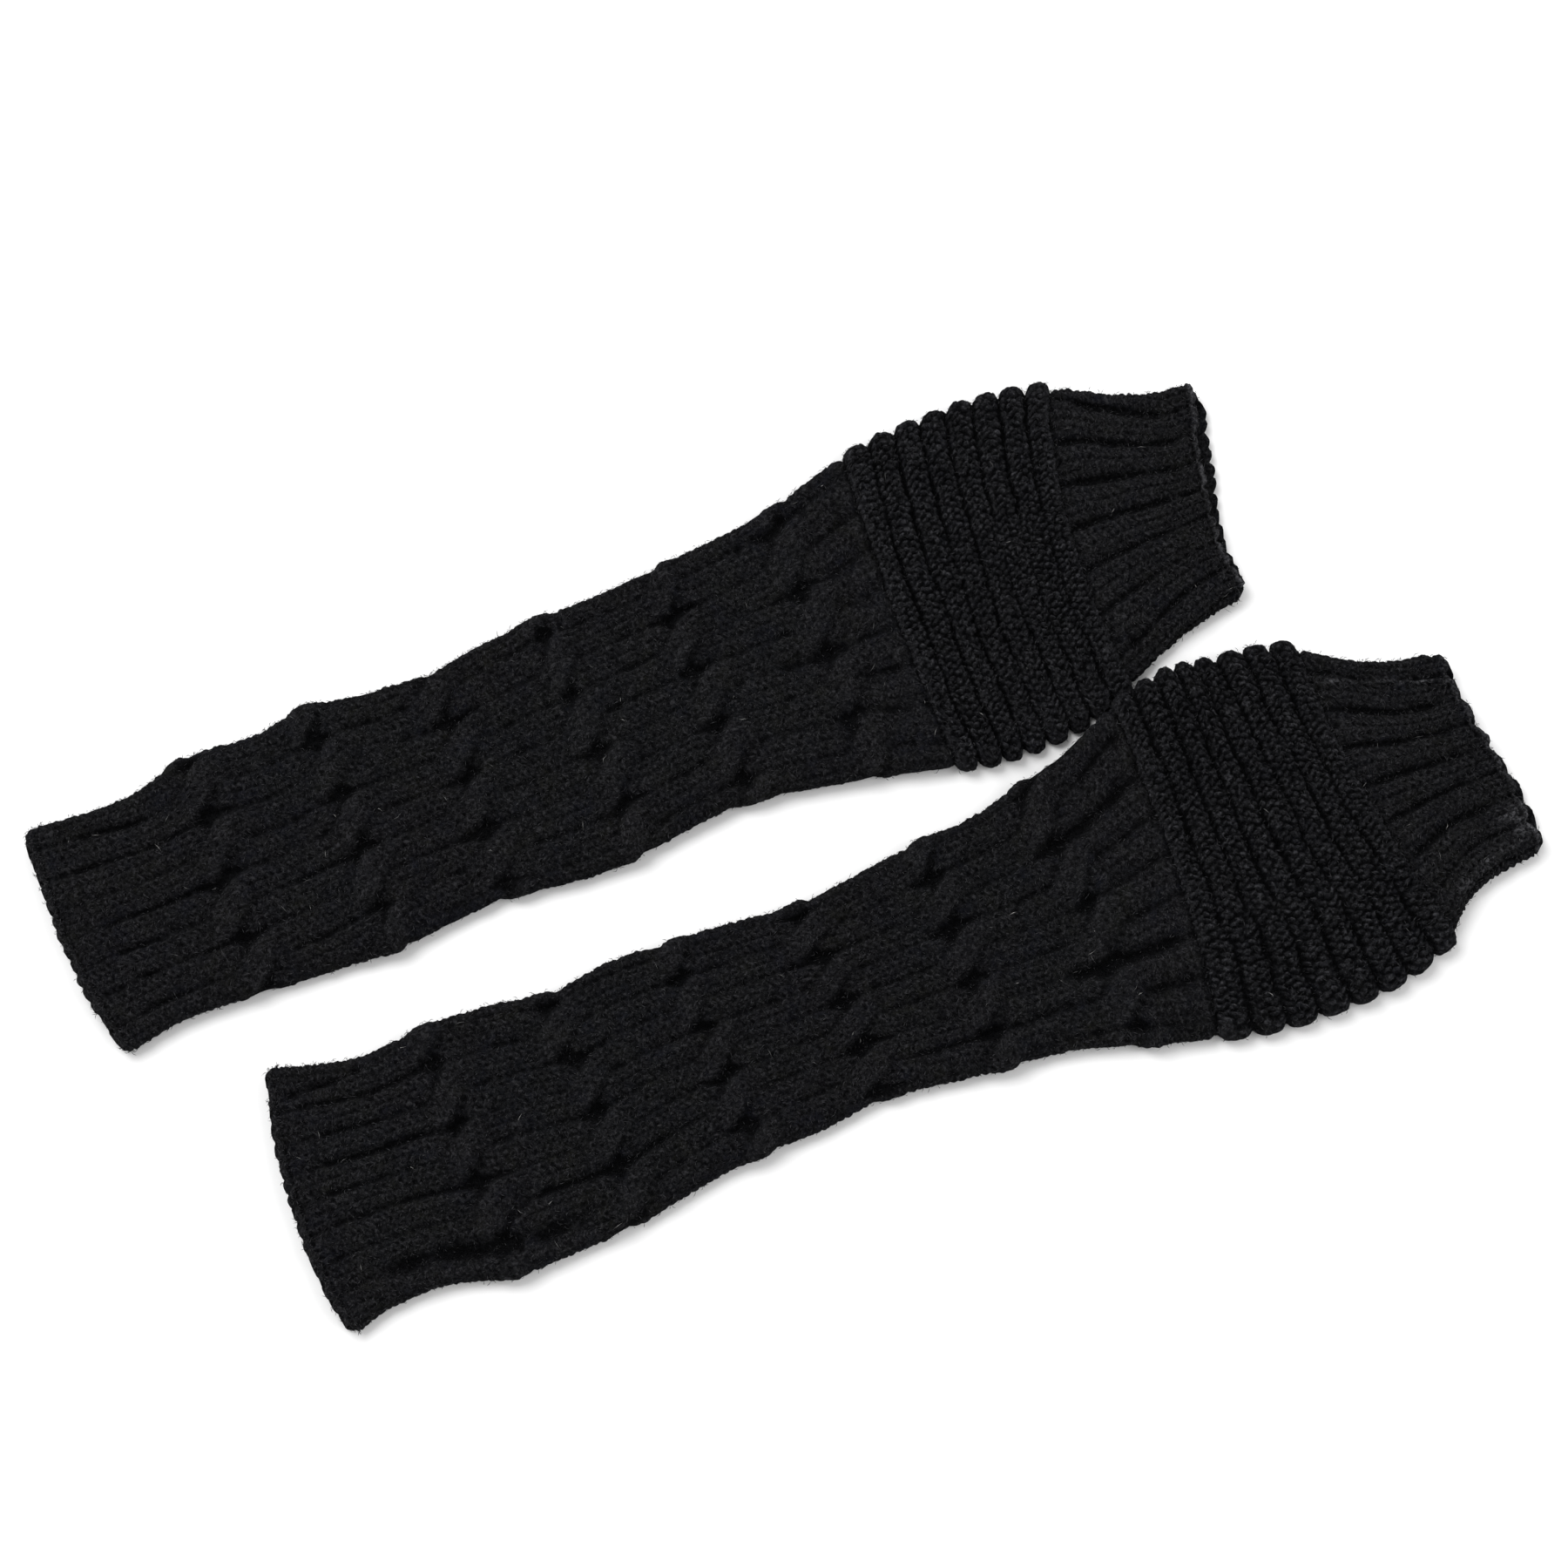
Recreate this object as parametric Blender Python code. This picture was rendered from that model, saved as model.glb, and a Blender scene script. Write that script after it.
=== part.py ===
"""A pair of knitted arm warmers, laid flat and side by side.

Each warmer is knitted in three stretches, and each stretch is one object:
  arm tube     - ribs that cross as cables, from the elbow edge to the wrist
  hand band    - eight raised welts that run round the hand
  finger cuff  - a short ribbed cuff, gathered in from the band

Every stretch is an open-ended tube of thick knit that lies flat on the table:
a lower layer, an upper layer on it, and two rounded folds at the sides.  The
tubes are lofted through the sections in the tables below.  A section is a line
across the warmer from its far fold to its near fold, seen from above.

The far warmer's hand band lies under the near warmer's corner, which is
squashed and lifted there.

Metres, +Z up, +X from the elbow to the fingers, and the underside at Z = 0.
The tables and the named sizes are in millimetres.
"""

import math
from collections import namedtuple

import bpy
import bmesh
from mathutils import Vector

MM = 0.001

# ---------------------------------------------------------------- named sizes
LOW_WALL = 3.7          # thickness of the layer that lies on the table
SLIT = 1.1              # hollow left between the two layers
GROOVE_TOP = 8.3        # top of the band between two welts
WELT_TOP = 10.6         # top of a welt
WELTS = 8               # welts on each hand band
WELT_CUT = 3            # sections for each welt
SCALLOP = 1.1           # how far a welt stands out at the folds
SEAM_GAP = 0.34         # gap between two stretches of one warmer
ARC_STEPS = 6           # straight facets round each fold

# moves the tables' values so that the pair is centred on the origin
CENTRE_X = 0.90
CENTRE_Y = -0.36

# where points lie across the flat layers, as shares of the width between folds
UPPER_SHARES = (0.0, 0.04, 0.12, 0.28, 0.50, 0.72, 0.88, 0.96, 1.0)
LOWER_SHARES = (0.0, 0.12, 0.32, 0.68, 0.88, 1.0)

# the corner where the near warmer lies on the far one
OVER_X = (88.0, 98.0, 132.0, 152.0)     # lift starts, is full, is full, ends
OVER_Y = (-28.0, -4.5)                  # lift starts, is full
OVER_LIFT = 7.0
PRESS_X = (76.0, 94.0, 140.0, 156.0)
PRESS_Y = (10.0, 24.0)                  # press is full below, none above
PRESS_KEEP = 0.60                       # share of its height that is left

# ---------------------------------------------------------------- the tables
# name      what lies at this section
# far_x/y   the far fold;  near_x/y  the near fold
# bow       how far the middle of the section lies towards the fingers
# top       height of the upper layer's top
Section = namedtuple("Section", "name far_x far_y near_x near_y bow top")

FAR_ARM = (
    Section("elbow edge",   -219.4,  93.6, -213.4,  11.6, -5.4, 8.6),
    Section("elbow ribs",   -201.0,  92.2, -199.0,  14.9, -3.0, 8.8),
    Section("before row 1", -184.0,  92.6, -184.0,  15.5, -0.5, 9.0),
    Section("row 1",        -165.0,  97.8, -165.0,  14.2,  0.0, 9.4),
    Section("ribs 1 to 2",  -144.0,  96.2, -144.0,  13.3,  0.0, 9.0),
    Section("row 2",        -126.0,  99.2, -126.0,  12.2,  0.0, 9.4),
    Section("ribs 2 to 3",  -103.0,  96.4, -103.0,  14.4,  0.0, 9.0),
    Section("row 3",         -85.0,  95.6,  -85.0,  14.8,  0.0, 9.4),
    Section("ribs 3 to 4",   -64.0,  98.4,  -64.0,  12.0,  0.0, 9.0),
    Section("row 4",         -44.0,  99.8,  -44.0,  11.4,  0.0, 9.4),
    Section("ribs 4 to 5",   -24.0, 100.2,  -24.0,  14.2,  0.0, 9.0),
    Section("row 5",          -4.0, 101.8,   -4.0,  15.4,  0.0, 9.4),
    Section("ribs 5 to 6",    17.0, 104.0,   17.0,  11.4,  0.0, 9.0),
    Section("row 6",          38.5, 106.8,   36.5,   6.6, -0.8, 9.4),
    Section("wrist",          66.9, 115.0,   58.9,   1.2, -1.7, 9.0),
)

NEAR_ARM = (
    Section("elbow edge",   -177.4,  -8.2, -180.2, -96.4, -5.0, 8.6),
    Section("elbow ribs",   -165.0, -12.4, -166.0, -92.8, -2.6, 8.8),
    Section("before row 1", -148.0, -16.2, -148.0, -92.8, -0.5, 9.0),
    Section("row 1",        -127.6, -15.0, -127.6, -98.2,  0.0, 9.4),
    Section("ribs 1 to 2",  -107.0, -15.8, -107.0, -98.4,  0.0, 9.0),
    Section("row 2",         -87.3, -19.2,  -87.3, -97.6,  0.0, 9.4),
    Section("ribs 2 to 3",   -67.0, -16.8,  -67.0, -94.2,  0.0, 9.0),
    Section("row 3",         -47.1, -17.8,  -47.1, -91.8,  0.0, 9.4),
    Section("ribs 3 to 4",   -26.0, -19.6,  -26.0, -91.4,  0.0, 9.0),
    Section("row 4",          -4.9, -21.8,   -4.9, -90.0,  0.0, 9.4),
    Section("ribs 4 to 5",    16.0, -20.0,   16.0, -92.4,  0.0, 9.0),
    Section("row 5",          36.6, -17.4,   36.6, -95.2,  0.0, 9.4),
    Section("ribs 5 to 6",    58.0, -16.2,   58.0, -98.4,  0.0, 9.0),
    Section("row 6",          78.1, -11.2,   78.1, -104.8, 0.0, 9.4),
    Section("flare",          98.0,  -6.4,   90.0, -108.6, 2.4, 9.2),
    Section("wrist",         110.8,  -1.4,   97.9, -110.8, 4.3, 9.0),
)

# a band's table gives its folds between the scallops; the welts are worked out
FAR_BAND = (
    Section("wrist",          67.2, 115.2,   59.2,   1.2, -1.7, GROOVE_TOP),
    Section("second welt",    84.0, 117.4,   73.0,  -1.8, -2.8, GROOVE_TOP),
    Section("fourth welt",   103.0, 118.0,   88.5,  -2.2, -4.0, GROOVE_TOP),
    Section("sixth welt",    123.0, 117.0,  106.0,  -0.4, -5.6, GROOVE_TOP),
    Section("cuff seam",     142.2, 113.4,  124.2,   4.6, -7.0, GROOVE_TOP),
)

NEAR_BAND = (
    Section("wrist",         111.1,  -1.0,   98.2, -110.9, 4.3, GROOVE_TOP),
    Section("second welt",   127.5,   2.4,  118.6, -115.4, 2.4, GROOVE_TOP),
    Section("fourth welt",   144.0,   2.8,  142.2, -117.3, 0.5, GROOVE_TOP),
    Section("sixth welt",    160.5,   1.6,  162.2, -116.0, -1.3, GROOVE_TOP),
    Section("cuff seam",     177.2,  -2.0,  182.0, -110.4, -3.6, GROOVE_TOP),
)

FAR_CUFF = (
    Section("cuff seam",     142.6, 111.4,  124.6,   6.8, -7.0, 9.0),
    Section("gathered in",   150.0, 107.2,  136.0,  12.2, -7.4, 9.2),
    Section("narrowest",     160.5, 101.4,  148.0,  16.8, -5.4, 9.0),
    Section("before edge",   173.0,  97.8,  160.0,  19.6, -2.6, 8.8),
    Section("finger edge",   185.4,  96.8,  171.0,  20.4, -0.4, 8.6),
)

NEAR_CUFF = (
    Section("cuff seam",     177.6,  -4.4,  182.4, -108.6, -3.6, 9.0),
    Section("gathered in",   187.5, -11.8,  189.4, -102.2, -2.0, 9.2),
    Section("narrowest",     197.0, -16.6,  198.4, -97.6,  0.2, 9.0),
    Section("before edge",   206.4, -20.0,  208.6, -95.6,  1.8, 8.8),
    Section("finger edge",   215.8, -23.0,  217.8, -94.6,  3.6, 8.6),
)

Finish = namedtuple("Finish", "name colour roughness")
FINISHES = {
    "cable": Finish("cable_knit", (0.010, 0.010, 0.012, 1.0), 0.92),
    "welt": Finish("welt_knit", (0.009, 0.009, 0.011, 1.0), 0.94),
    "rib": Finish("rib_knit", (0.010, 0.010, 0.012, 1.0), 0.92),
}


# ---------------------------------------------------------------- small helpers
def smooth(low, high, value):
    """0 below low, 1 above high, and an even ease between them."""
    t = min(1.0, max(0.0, (value - low) / (high - low)))
    return t * t * (3.0 - 2.0 * t)


def plateau(x, edges):
    """Rises between the first two edges and falls between the last two."""
    return smooth(edges[0], edges[1], x) * (1.0 - smooth(edges[2], edges[3], x))


def press_far_warmer(x, y, z):
    """The far warmer is squashed where the near one lies on it."""
    share = plateau(x, PRESS_X) * (1.0 - smooth(PRESS_Y[0], PRESS_Y[1], y))
    return z * (1.0 - (1.0 - PRESS_KEEP) * share)


def lift_near_warmer(x, y, z):
    """The near warmer rises over the far one's edge."""
    return z + OVER_LIFT * plateau(x, OVER_X) * smooth(OVER_Y[0], OVER_Y[1], y)


# ---------------------------------------------------------------- sections
def between(rows, position):
    """A section at a position along a table, on a smooth curve through it."""
    last = len(rows) - 1
    i = min(int(position), last - 1)
    t = position - i
    a, b = rows[i], rows[i + 1]
    before = rows[max(i - 1, 0)]
    after = rows[min(i + 2, last)]

    def curve(p0, p1, p2, p3):
        m1 = (p2 - p0) * (0.5 if i > 0 else 1.0)
        m2 = (p3 - p1) * (0.5 if i + 2 <= last else 1.0)
        t2, t3 = t * t, t * t * t
        return ((2 * t3 - 3 * t2 + 1) * p1 + (t3 - 2 * t2 + t) * m1
                + (3 * t2 - 2 * t3) * p2 + (t3 - t2) * m2)

    values = [curve(before[k], a[k], b[k], after[k]) for k in range(1, 7)]
    return Section(a.name, *values)


def welt_sections(rows):
    """The band's sections: a low one in each groove and high ones between."""
    out = []
    steps = WELTS * WELT_CUT
    for k in range(steps + 1):
        share = k / steps
        base = between(rows, share * (len(rows) - 1))
        rise = abs(math.sin(math.pi * WELTS * share)) ** 0.8
        reach = SCALLOP * (2.0 * rise - 0.9)
        across = Vector((base.near_x - base.far_x, base.near_y - base.far_y))
        across.normalize()
        out.append(base._replace(
            name="welt cut %d" % k,
            far_x=base.far_x - across.x * reach,
            far_y=base.far_y - across.y * reach,
            near_x=base.near_x + across.x * reach,
            near_y=base.near_y + across.y * reach,
            top=GROOVE_TOP + (WELT_TOP - GROOVE_TOP) * rise))
    return out


def shifted(rows, gap_start, gap_end):
    """Draws the first and the last section back from the seams."""
    rows = list(rows)
    first, last = rows[0], rows[-1]
    rows[0] = first._replace(far_x=first.far_x + gap_start,
                             near_x=first.near_x + gap_start)
    rows[-1] = last._replace(far_x=last.far_x - gap_end,
                             near_x=last.near_x - gap_end)
    return rows


def ring(section, low, high, inset, settle):
    """One closed ring of the flattened tube, between the heights low and high.

    It runs along the lower layer from far to near, round the near fold, back
    along the upper layer and round the far fold.
    """
    far = Vector((section.far_x, section.far_y))
    near = Vector((section.near_x, section.near_y))
    width = (near - far).length
    across = (near - far) / width
    radius = (high - low) / 2.0
    start, end = inset + radius, width - inset - radius
    middle = (low + high) / 2.0

    flat = []                              # (distance from the far fold, z)
    for share in LOWER_SHARES:
        flat.append((start + share * (end - start), low))
    for k in range(1, ARC_STEPS):
        angle = -math.pi / 2 + math.pi * k / ARC_STEPS
        flat.append((end + radius * math.cos(angle),
                     middle + radius * math.sin(angle)))
    for share in UPPER_SHARES:
        flat.append((end - share * (end - start), high))
    for k in range(1, ARC_STEPS):
        angle = math.pi / 2 + math.pi * k / ARC_STEPS
        flat.append((start + radius * math.cos(angle),
                     middle + radius * math.sin(angle)))

    points = []
    for distance, z in flat:
        share = distance / width
        p = far + across * distance
        x = p.x + section.bow * 4.0 * share * (1.0 - share)
        z = settle(x, p.y, z)
        points.append(Vector(((x + CENTRE_X) * MM, (p.y + CENTRE_Y) * MM,
                              z * MM)))
    return points


def loft_tube(name, sections, finish, settle, collection):
    """An open-ended tube: an outer and an inner skin joined by two rims."""
    mesh = bpy.data.meshes.new(name)
    bm = bmesh.new()
    outer, inner = [], []
    for s in sections:
        outer.append([bm.verts.new(p) for p in
                      ring(s, 0.0, s.top, 0.0, settle)])
        inner.append([bm.verts.new(p) for p in
                      ring(s, LOW_WALL, LOW_WALL + SLIT, LOW_WALL, settle)])
    count = len(outer[0])
    for i in range(len(sections) - 1):
        for j in range(count):
            k = (j + 1) % count
            bm.faces.new((outer[i][j], outer[i][k],
                          outer[i + 1][k], outer[i + 1][j]))
            bm.faces.new((inner[i][k], inner[i][j],
                          inner[i + 1][j], inner[i + 1][k]))
    for j in range(count):
        k = (j + 1) % count
        bm.faces.new((outer[0][k], outer[0][j], inner[0][j], inner[0][k]))
        bm.faces.new((outer[-1][j], outer[-1][k], inner[-1][k], inner[-1][j]))
    bmesh.ops.triangulate(bm, faces=bm.faces[:], quad_method="SHORT_EDGE")
    bmesh.ops.recalc_face_normals(bm, faces=bm.faces[:])
    bm.to_mesh(mesh)
    bm.free()
    mesh.shade_smooth()
    mesh.set_sharp_from_angle(angle=math.radians(50.0))
    mesh.materials.append(finish)
    obj = bpy.data.objects.new(name, mesh)
    collection.objects.link(obj)
    return obj


# ---------------------------------------------------------------- the object
def make_finishes():
    out = {}
    for key, f in FINISHES.items():
        material = bpy.data.materials.new(f.name)
        material.use_nodes = True
        shader = material.node_tree.nodes["Principled BSDF"]
        shader.inputs["Base Color"].default_value = f.colour
        shader.inputs["Roughness"].default_value = f.roughness
        shader.inputs["Metallic"].default_value = 0.0
        out[key] = material
    return out


def main():
    for obj in list(bpy.data.objects):
        bpy.data.objects.remove(obj, do_unlink=True)

    collection = bpy.data.collections.new("arm_warmers")
    bpy.context.scene.collection.children.link(collection)
    finishes = make_finishes()

    root = bpy.data.objects.new("arm_warmers_origin", None)
    collection.objects.link(root)

    warmers = (
        ("far", FAR_ARM, FAR_BAND, FAR_CUFF, press_far_warmer),
        ("near", NEAR_ARM, NEAR_BAND, NEAR_CUFF, lift_near_warmer),
    )
    for side, arm, band, cuff, settle in warmers:
        pieces = (
            (side + "_arm_tube", shifted(arm, 0.0, 0.0), "cable"),
            (side + "_hand_band",
             shifted(welt_sections(band), SEAM_GAP / 2, SEAM_GAP / 2), "welt"),
            (side + "_finger_cuff", shifted(cuff, SEAM_GAP / 2, 0.0), "rib"),
        )
        for name, sections, finish in pieces:
            obj = loft_tube(name, sections, finishes[finish], settle,
                            collection)
            obj.parent = root


main()
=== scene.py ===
import math
from collections import namedtuple

import bpy
import numpy as np
from mathutils import Matrix, Vector


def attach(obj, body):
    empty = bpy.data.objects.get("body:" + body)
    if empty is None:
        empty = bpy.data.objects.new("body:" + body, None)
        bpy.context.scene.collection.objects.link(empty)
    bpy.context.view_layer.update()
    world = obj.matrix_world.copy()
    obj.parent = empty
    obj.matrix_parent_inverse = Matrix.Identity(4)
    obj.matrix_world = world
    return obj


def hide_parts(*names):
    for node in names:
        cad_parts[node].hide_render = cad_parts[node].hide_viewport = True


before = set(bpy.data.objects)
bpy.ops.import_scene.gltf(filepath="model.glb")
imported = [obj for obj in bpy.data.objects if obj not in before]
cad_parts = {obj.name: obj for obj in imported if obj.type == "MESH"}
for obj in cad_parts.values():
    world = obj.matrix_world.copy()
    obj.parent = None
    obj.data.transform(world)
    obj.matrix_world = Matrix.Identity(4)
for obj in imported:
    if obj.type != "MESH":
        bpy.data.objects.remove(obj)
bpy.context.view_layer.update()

MM = 0.001
PI = math.pi

# =====================================================================
# Sizes, in millimetres: the part's own, with a millimetre more where the
# knit flares at its edges
# =====================================================================
LOW_WALL = 3.7          # thickness of the layer that lies on the table
SLIT = 1.1              # hollow between the two layers
GROOVE_TOP = 8.3
WELT_TOP = 10.6
WELTS = 8
SCALLOP = 1.1
JOG = 0.12              # how far the near band's welts step, in welts
CENTRE = (0.90, -0.36)

OVER_X = (88.0, 98.0, 132.0, 152.0)
OVER_Y = (-28.0, -4.5)
OVER_LIFT = 7.0
PRESS_X = (76.0, 94.0, 140.0, 156.0)
PRESS_Y = (10.0, 24.0)
PRESS_KEEP = 0.60

Section = namedtuple("Section", "name far_x far_y near_x near_y bow top")

FAR_ARM = (
    Section("elbow edge",   -219.4,  94.5, -213.4,  11.6, -5.4, 8.6),
    Section("elbow ribs",   -201.0,  92.2, -199.0,  14.9, -3.0, 8.8),
    Section("before row 1", -184.0,  92.6, -184.0,  15.5, -0.5, 9.0),
    Section("row 1",        -165.0,  97.8, -165.0,  14.2,  0.0, 9.4),
    Section("ribs 1 to 2",  -144.0,  96.2, -144.0,  13.3,  0.0, 9.0),
    Section("row 2",        -126.0,  99.2, -126.0,  12.2,  0.0, 9.4),
    Section("ribs 2 to 3",  -103.0,  96.4, -103.0,  14.4,  0.0, 9.0),
    Section("row 3",         -85.0,  95.6,  -85.0,  14.8,  0.0, 9.4),
    Section("ribs 3 to 4",   -64.0,  98.4,  -64.0,  12.0,  0.0, 9.0),
    Section("row 4",         -44.0,  99.8,  -44.0,  11.4,  0.0, 9.4),
    Section("ribs 4 to 5",   -24.0, 100.2,  -24.0,  14.2,  0.0, 9.0),
    Section("row 5",          -4.0, 101.8,   -4.0,  15.4,  0.0, 9.4),
    Section("ribs 5 to 6",    17.0, 104.0,   17.0,  11.4,  0.0, 9.0),
    Section("row 6",          38.5, 106.8,   36.5,   6.6, -0.8, 9.4),
    Section("wrist",          66.9, 115.0,   58.9,   1.2, -1.7, 9.0),
)

NEAR_ARM = (
    Section("elbow edge",   -177.4,  -8.2, -180.2, -96.4, -5.0, 8.6),
    Section("elbow ribs",   -165.0, -12.4, -166.0, -92.8, -2.6, 8.8),
    Section("before row 1", -148.0, -16.2, -148.0, -92.8, -0.5, 9.0),
    Section("row 1",        -127.6, -15.0, -127.6, -98.2,  0.0, 9.4),
    Section("ribs 1 to 2",  -107.0, -15.8, -107.0, -98.4,  0.0, 9.0),
    Section("row 2",         -87.3, -19.2,  -87.3, -97.6,  0.0, 9.4),
    Section("ribs 2 to 3",   -67.0, -16.8,  -67.0, -94.2,  0.0, 9.0),
    Section("row 3",         -47.1, -17.8,  -47.1, -91.8,  0.0, 9.4),
    Section("ribs 3 to 4",   -26.0, -19.6,  -26.0, -91.4,  0.0, 9.0),
    Section("row 4",          -4.9, -21.8,   -4.9, -90.0,  0.0, 9.4),
    Section("ribs 4 to 5",    16.0, -20.0,   16.0, -92.4,  0.0, 9.0),
    Section("row 5",          36.6, -17.4,   36.6, -95.2,  0.0, 9.4),
    Section("ribs 5 to 6",    58.0, -16.2,   58.0, -98.4,  0.0, 9.0),
    Section("row 6",          78.1, -11.2,   78.1, -104.8, 0.0, 9.4),
    Section("flare",          98.0,  -6.4,   90.0, -108.6, 2.4, 9.2),
    Section("wrist",         110.8,  -1.4,   97.9, -110.8, 4.3, 9.0),
)

FAR_BAND = (
    Section("wrist",          67.2, 115.2,   59.2,   1.2, -1.7, GROOVE_TOP),
    Section("second welt",    84.0, 117.4,   73.0,  -1.8, -2.8, GROOVE_TOP),
    Section("fourth welt",   103.0, 118.0,   88.5,  -2.2, -4.0, GROOVE_TOP),
    Section("sixth welt",    123.0, 117.0,  106.0,  -0.4, -5.6, GROOVE_TOP),
    Section("cuff seam",     142.2, 113.4,  124.2,   4.6, -7.0, GROOVE_TOP),
)

NEAR_BAND = (
    Section("wrist",         111.1,  -1.0,   98.2, -111.2, 4.3, GROOVE_TOP),
    Section("second welt",   127.5,   2.8,  118.6, -115.7, 2.4, GROOVE_TOP),
    Section("fourth welt",   144.0,   3.6,  142.2, -117.3, 0.5, GROOVE_TOP),
    Section("sixth welt",    160.5,   2.5,  162.2, -116.0, -1.3, GROOVE_TOP),
    Section("cuff seam",     177.2,  -1.4,  182.0, -110.4, -3.6, GROOVE_TOP),
)

FAR_CUFF = (
    Section("cuff seam",     142.6, 111.4,  124.6,   6.0, -7.0, 9.0),
    Section("gathered in",   150.0, 107.2,  136.0,  11.0, -7.4, 9.2),
    Section("narrowest",     160.5, 101.4,  148.0,  15.6, -5.4, 9.0),
    Section("before edge",   173.0,  97.8,  160.0,  18.6, -2.6, 8.8),
    Section("finger edge",   185.4,  97.2,  171.0,  19.8, -0.4, 8.6),
)

NEAR_CUFF = (
    Section("cuff seam",     177.6,  -4.4,  182.4, -108.6, -3.6, 9.0),
    Section("gathered in",   187.5, -11.4,  189.4, -102.2, -2.0, 9.2),
    Section("narrowest",     197.0, -16.0,  198.4, -97.6,  0.2, 9.0),
    Section("before edge",   206.4, -19.2,  208.6, -95.6,  1.8, 8.8),
    Section("finger edge",   215.8, -21.0,  217.8, -94.8,  3.6, 8.6),
)

# The knit
RIBS = 16               # two-wale ribs round the arm and the finger cuff
STITCHES = 100          # purl stitches round a welt
ROW = 2.6               # length of one knitted row
RIB_DEPTH = 1.45        # from a rib's crest to the bottom of its gutters
GROUND = 3.3            # from a rib's crest to the purl ground in a dimple
CROSS_LONG = 19.5       # length over which two ribs change places
CROSS_UP = 1.50         # how far the strand in front rises
CROSS_DOWN = 1.3        # how far the strand behind dips

# rows of crossings: where along the warmer, and which ribs pair up (0: ribs
# 1+2, 3+4 ..., 1: ribs 2+3, 4+5 ...)
Crossing = namedtuple("Crossing", "x pairs")
FAR_ROWS = (Crossing(-167.0, 0), Crossing(-126.0, 1), Crossing(-85.0, 0),
            Crossing(-44.3, 1), Crossing(-4.3, 0), Crossing(36.6, 1))
NEAR_ROWS = (Crossing(-127.6, 1), Crossing(-87.3, 0), Crossing(-47.1, 1),
             Crossing(-4.9, 0), Crossing(36.6, 1), Crossing(78.1, 0))

# where a band's welts lie shallow: share of the way from wrist to cuff,
# share of the width from the far fold, their radii, and how much
Calm = namedtuple("Calm", "share across long wide amount")
FAR_CALMS = (Calm(0.66, 0.48, 0.14, 0.12, 1.15), Calm(0.84, 0.60, 0.12, 0.16, 0.95))
NEAR_CALMS = (Calm(0.75, 0.34, 0.10, 0.09, 1.15), Calm(0.86, 0.50, 0.08, 0.10, 0.6))

# how wide each groove between welts stands, from the wrist to the cuff
FAR_GROOVES = (1.0, 1.0, 1.06, 1.06, 1.04, 1.04, 1.0, 1.0, 1.0)
NEAR_GROOVES = (1.0, 1.45, 1.50, 1.45, 1.40, 1.30, 1.15, 1.10, 1.0)

# how the knit has turned on the tube: the rib count that stands at the far
# fold and at the near fold, at places along the warmer
Turn = namedtuple("Turn", "x far near")
FAR_TURN = (Turn(-207, -0.09, 7.99), Turn(-167, -0.46, 8.00), Turn(-126, -0.42, 8.47),
            Turn(-85, -0.20, 8.48), Turn(-44, 0.06, 8.70), Turn(-4, 0.00, 8.84),
            Turn(36, 0.20, 8.98), Turn(62, 0.40, 8.75))
NEAR_TURN = (Turn(-157, -0.56, 8.23), Turn(-128, -0.48, 8.24), Turn(-87, -0.64, 8.13),
             Turn(-47, -0.75, 8.29), Turn(-5, -0.67, 8.39), Turn(36, -0.59, 8.33),
             Turn(78, -0.38, 8.62), Turn(102, 0.18, 8.50))
FAR_CUFF_TURN = (Turn(134, 0.50, 7.90), Turn(150, 0.24, 8.11), Turn(166, -0.17, 8.33))
NEAR_CUFF_TURN = (Turn(183, 0.20, 8.10), Turn(198, -0.15, 8.31), Turn(215, -0.20, 8.30))

# gutters that the photo shows wide open: from x to x, on which rib line at
# each end, how wide and how deep
Gutter = namedtuple("Gutter", "x0 x1 rib0 rib1 wide deep")
FAR_GUTTERS = (
    Gutter(-214, -158, 2.0, 2.0, 0.8, 0.7),
    Gutter(-212, -160, 4.0, 4.0, 0.8, 0.8),
    Gutter(-208, -192, 5.0, 5.0, 0.8, 0.8),
    Gutter(-206, -150, 6.0, 6.0, 0.9, 0.6),
    Gutter(-212, -186, 7.0, 7.0, 1.0, 0.7),
    Gutter(-212, -178, 1.0, 1.0, 1.2, 0.8),
    Gutter(-150, -116, 5.0, 5.0, 0.9, 0.7),
    Gutter(-104, -70, 2.0, 2.0, 1.1, 0.6),
    Gutter(-20, 8, 2.0, 2.0, 1.0, 0.6),
    Gutter(26, 50, 1.0, 1.0, 3.2, 0.35),
    Gutter(24, 60, 3.0, 3.0, 3.4, 0.35),
    Gutter(18, 46, 5.0, 5.0, 3.6, 0.65),
    Gutter(40, 58, 6.0, 6.0, 1.4, 0.45),
    Gutter(28, 54, 7.3, 7.3, 3.4, 0.50),
)
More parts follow.
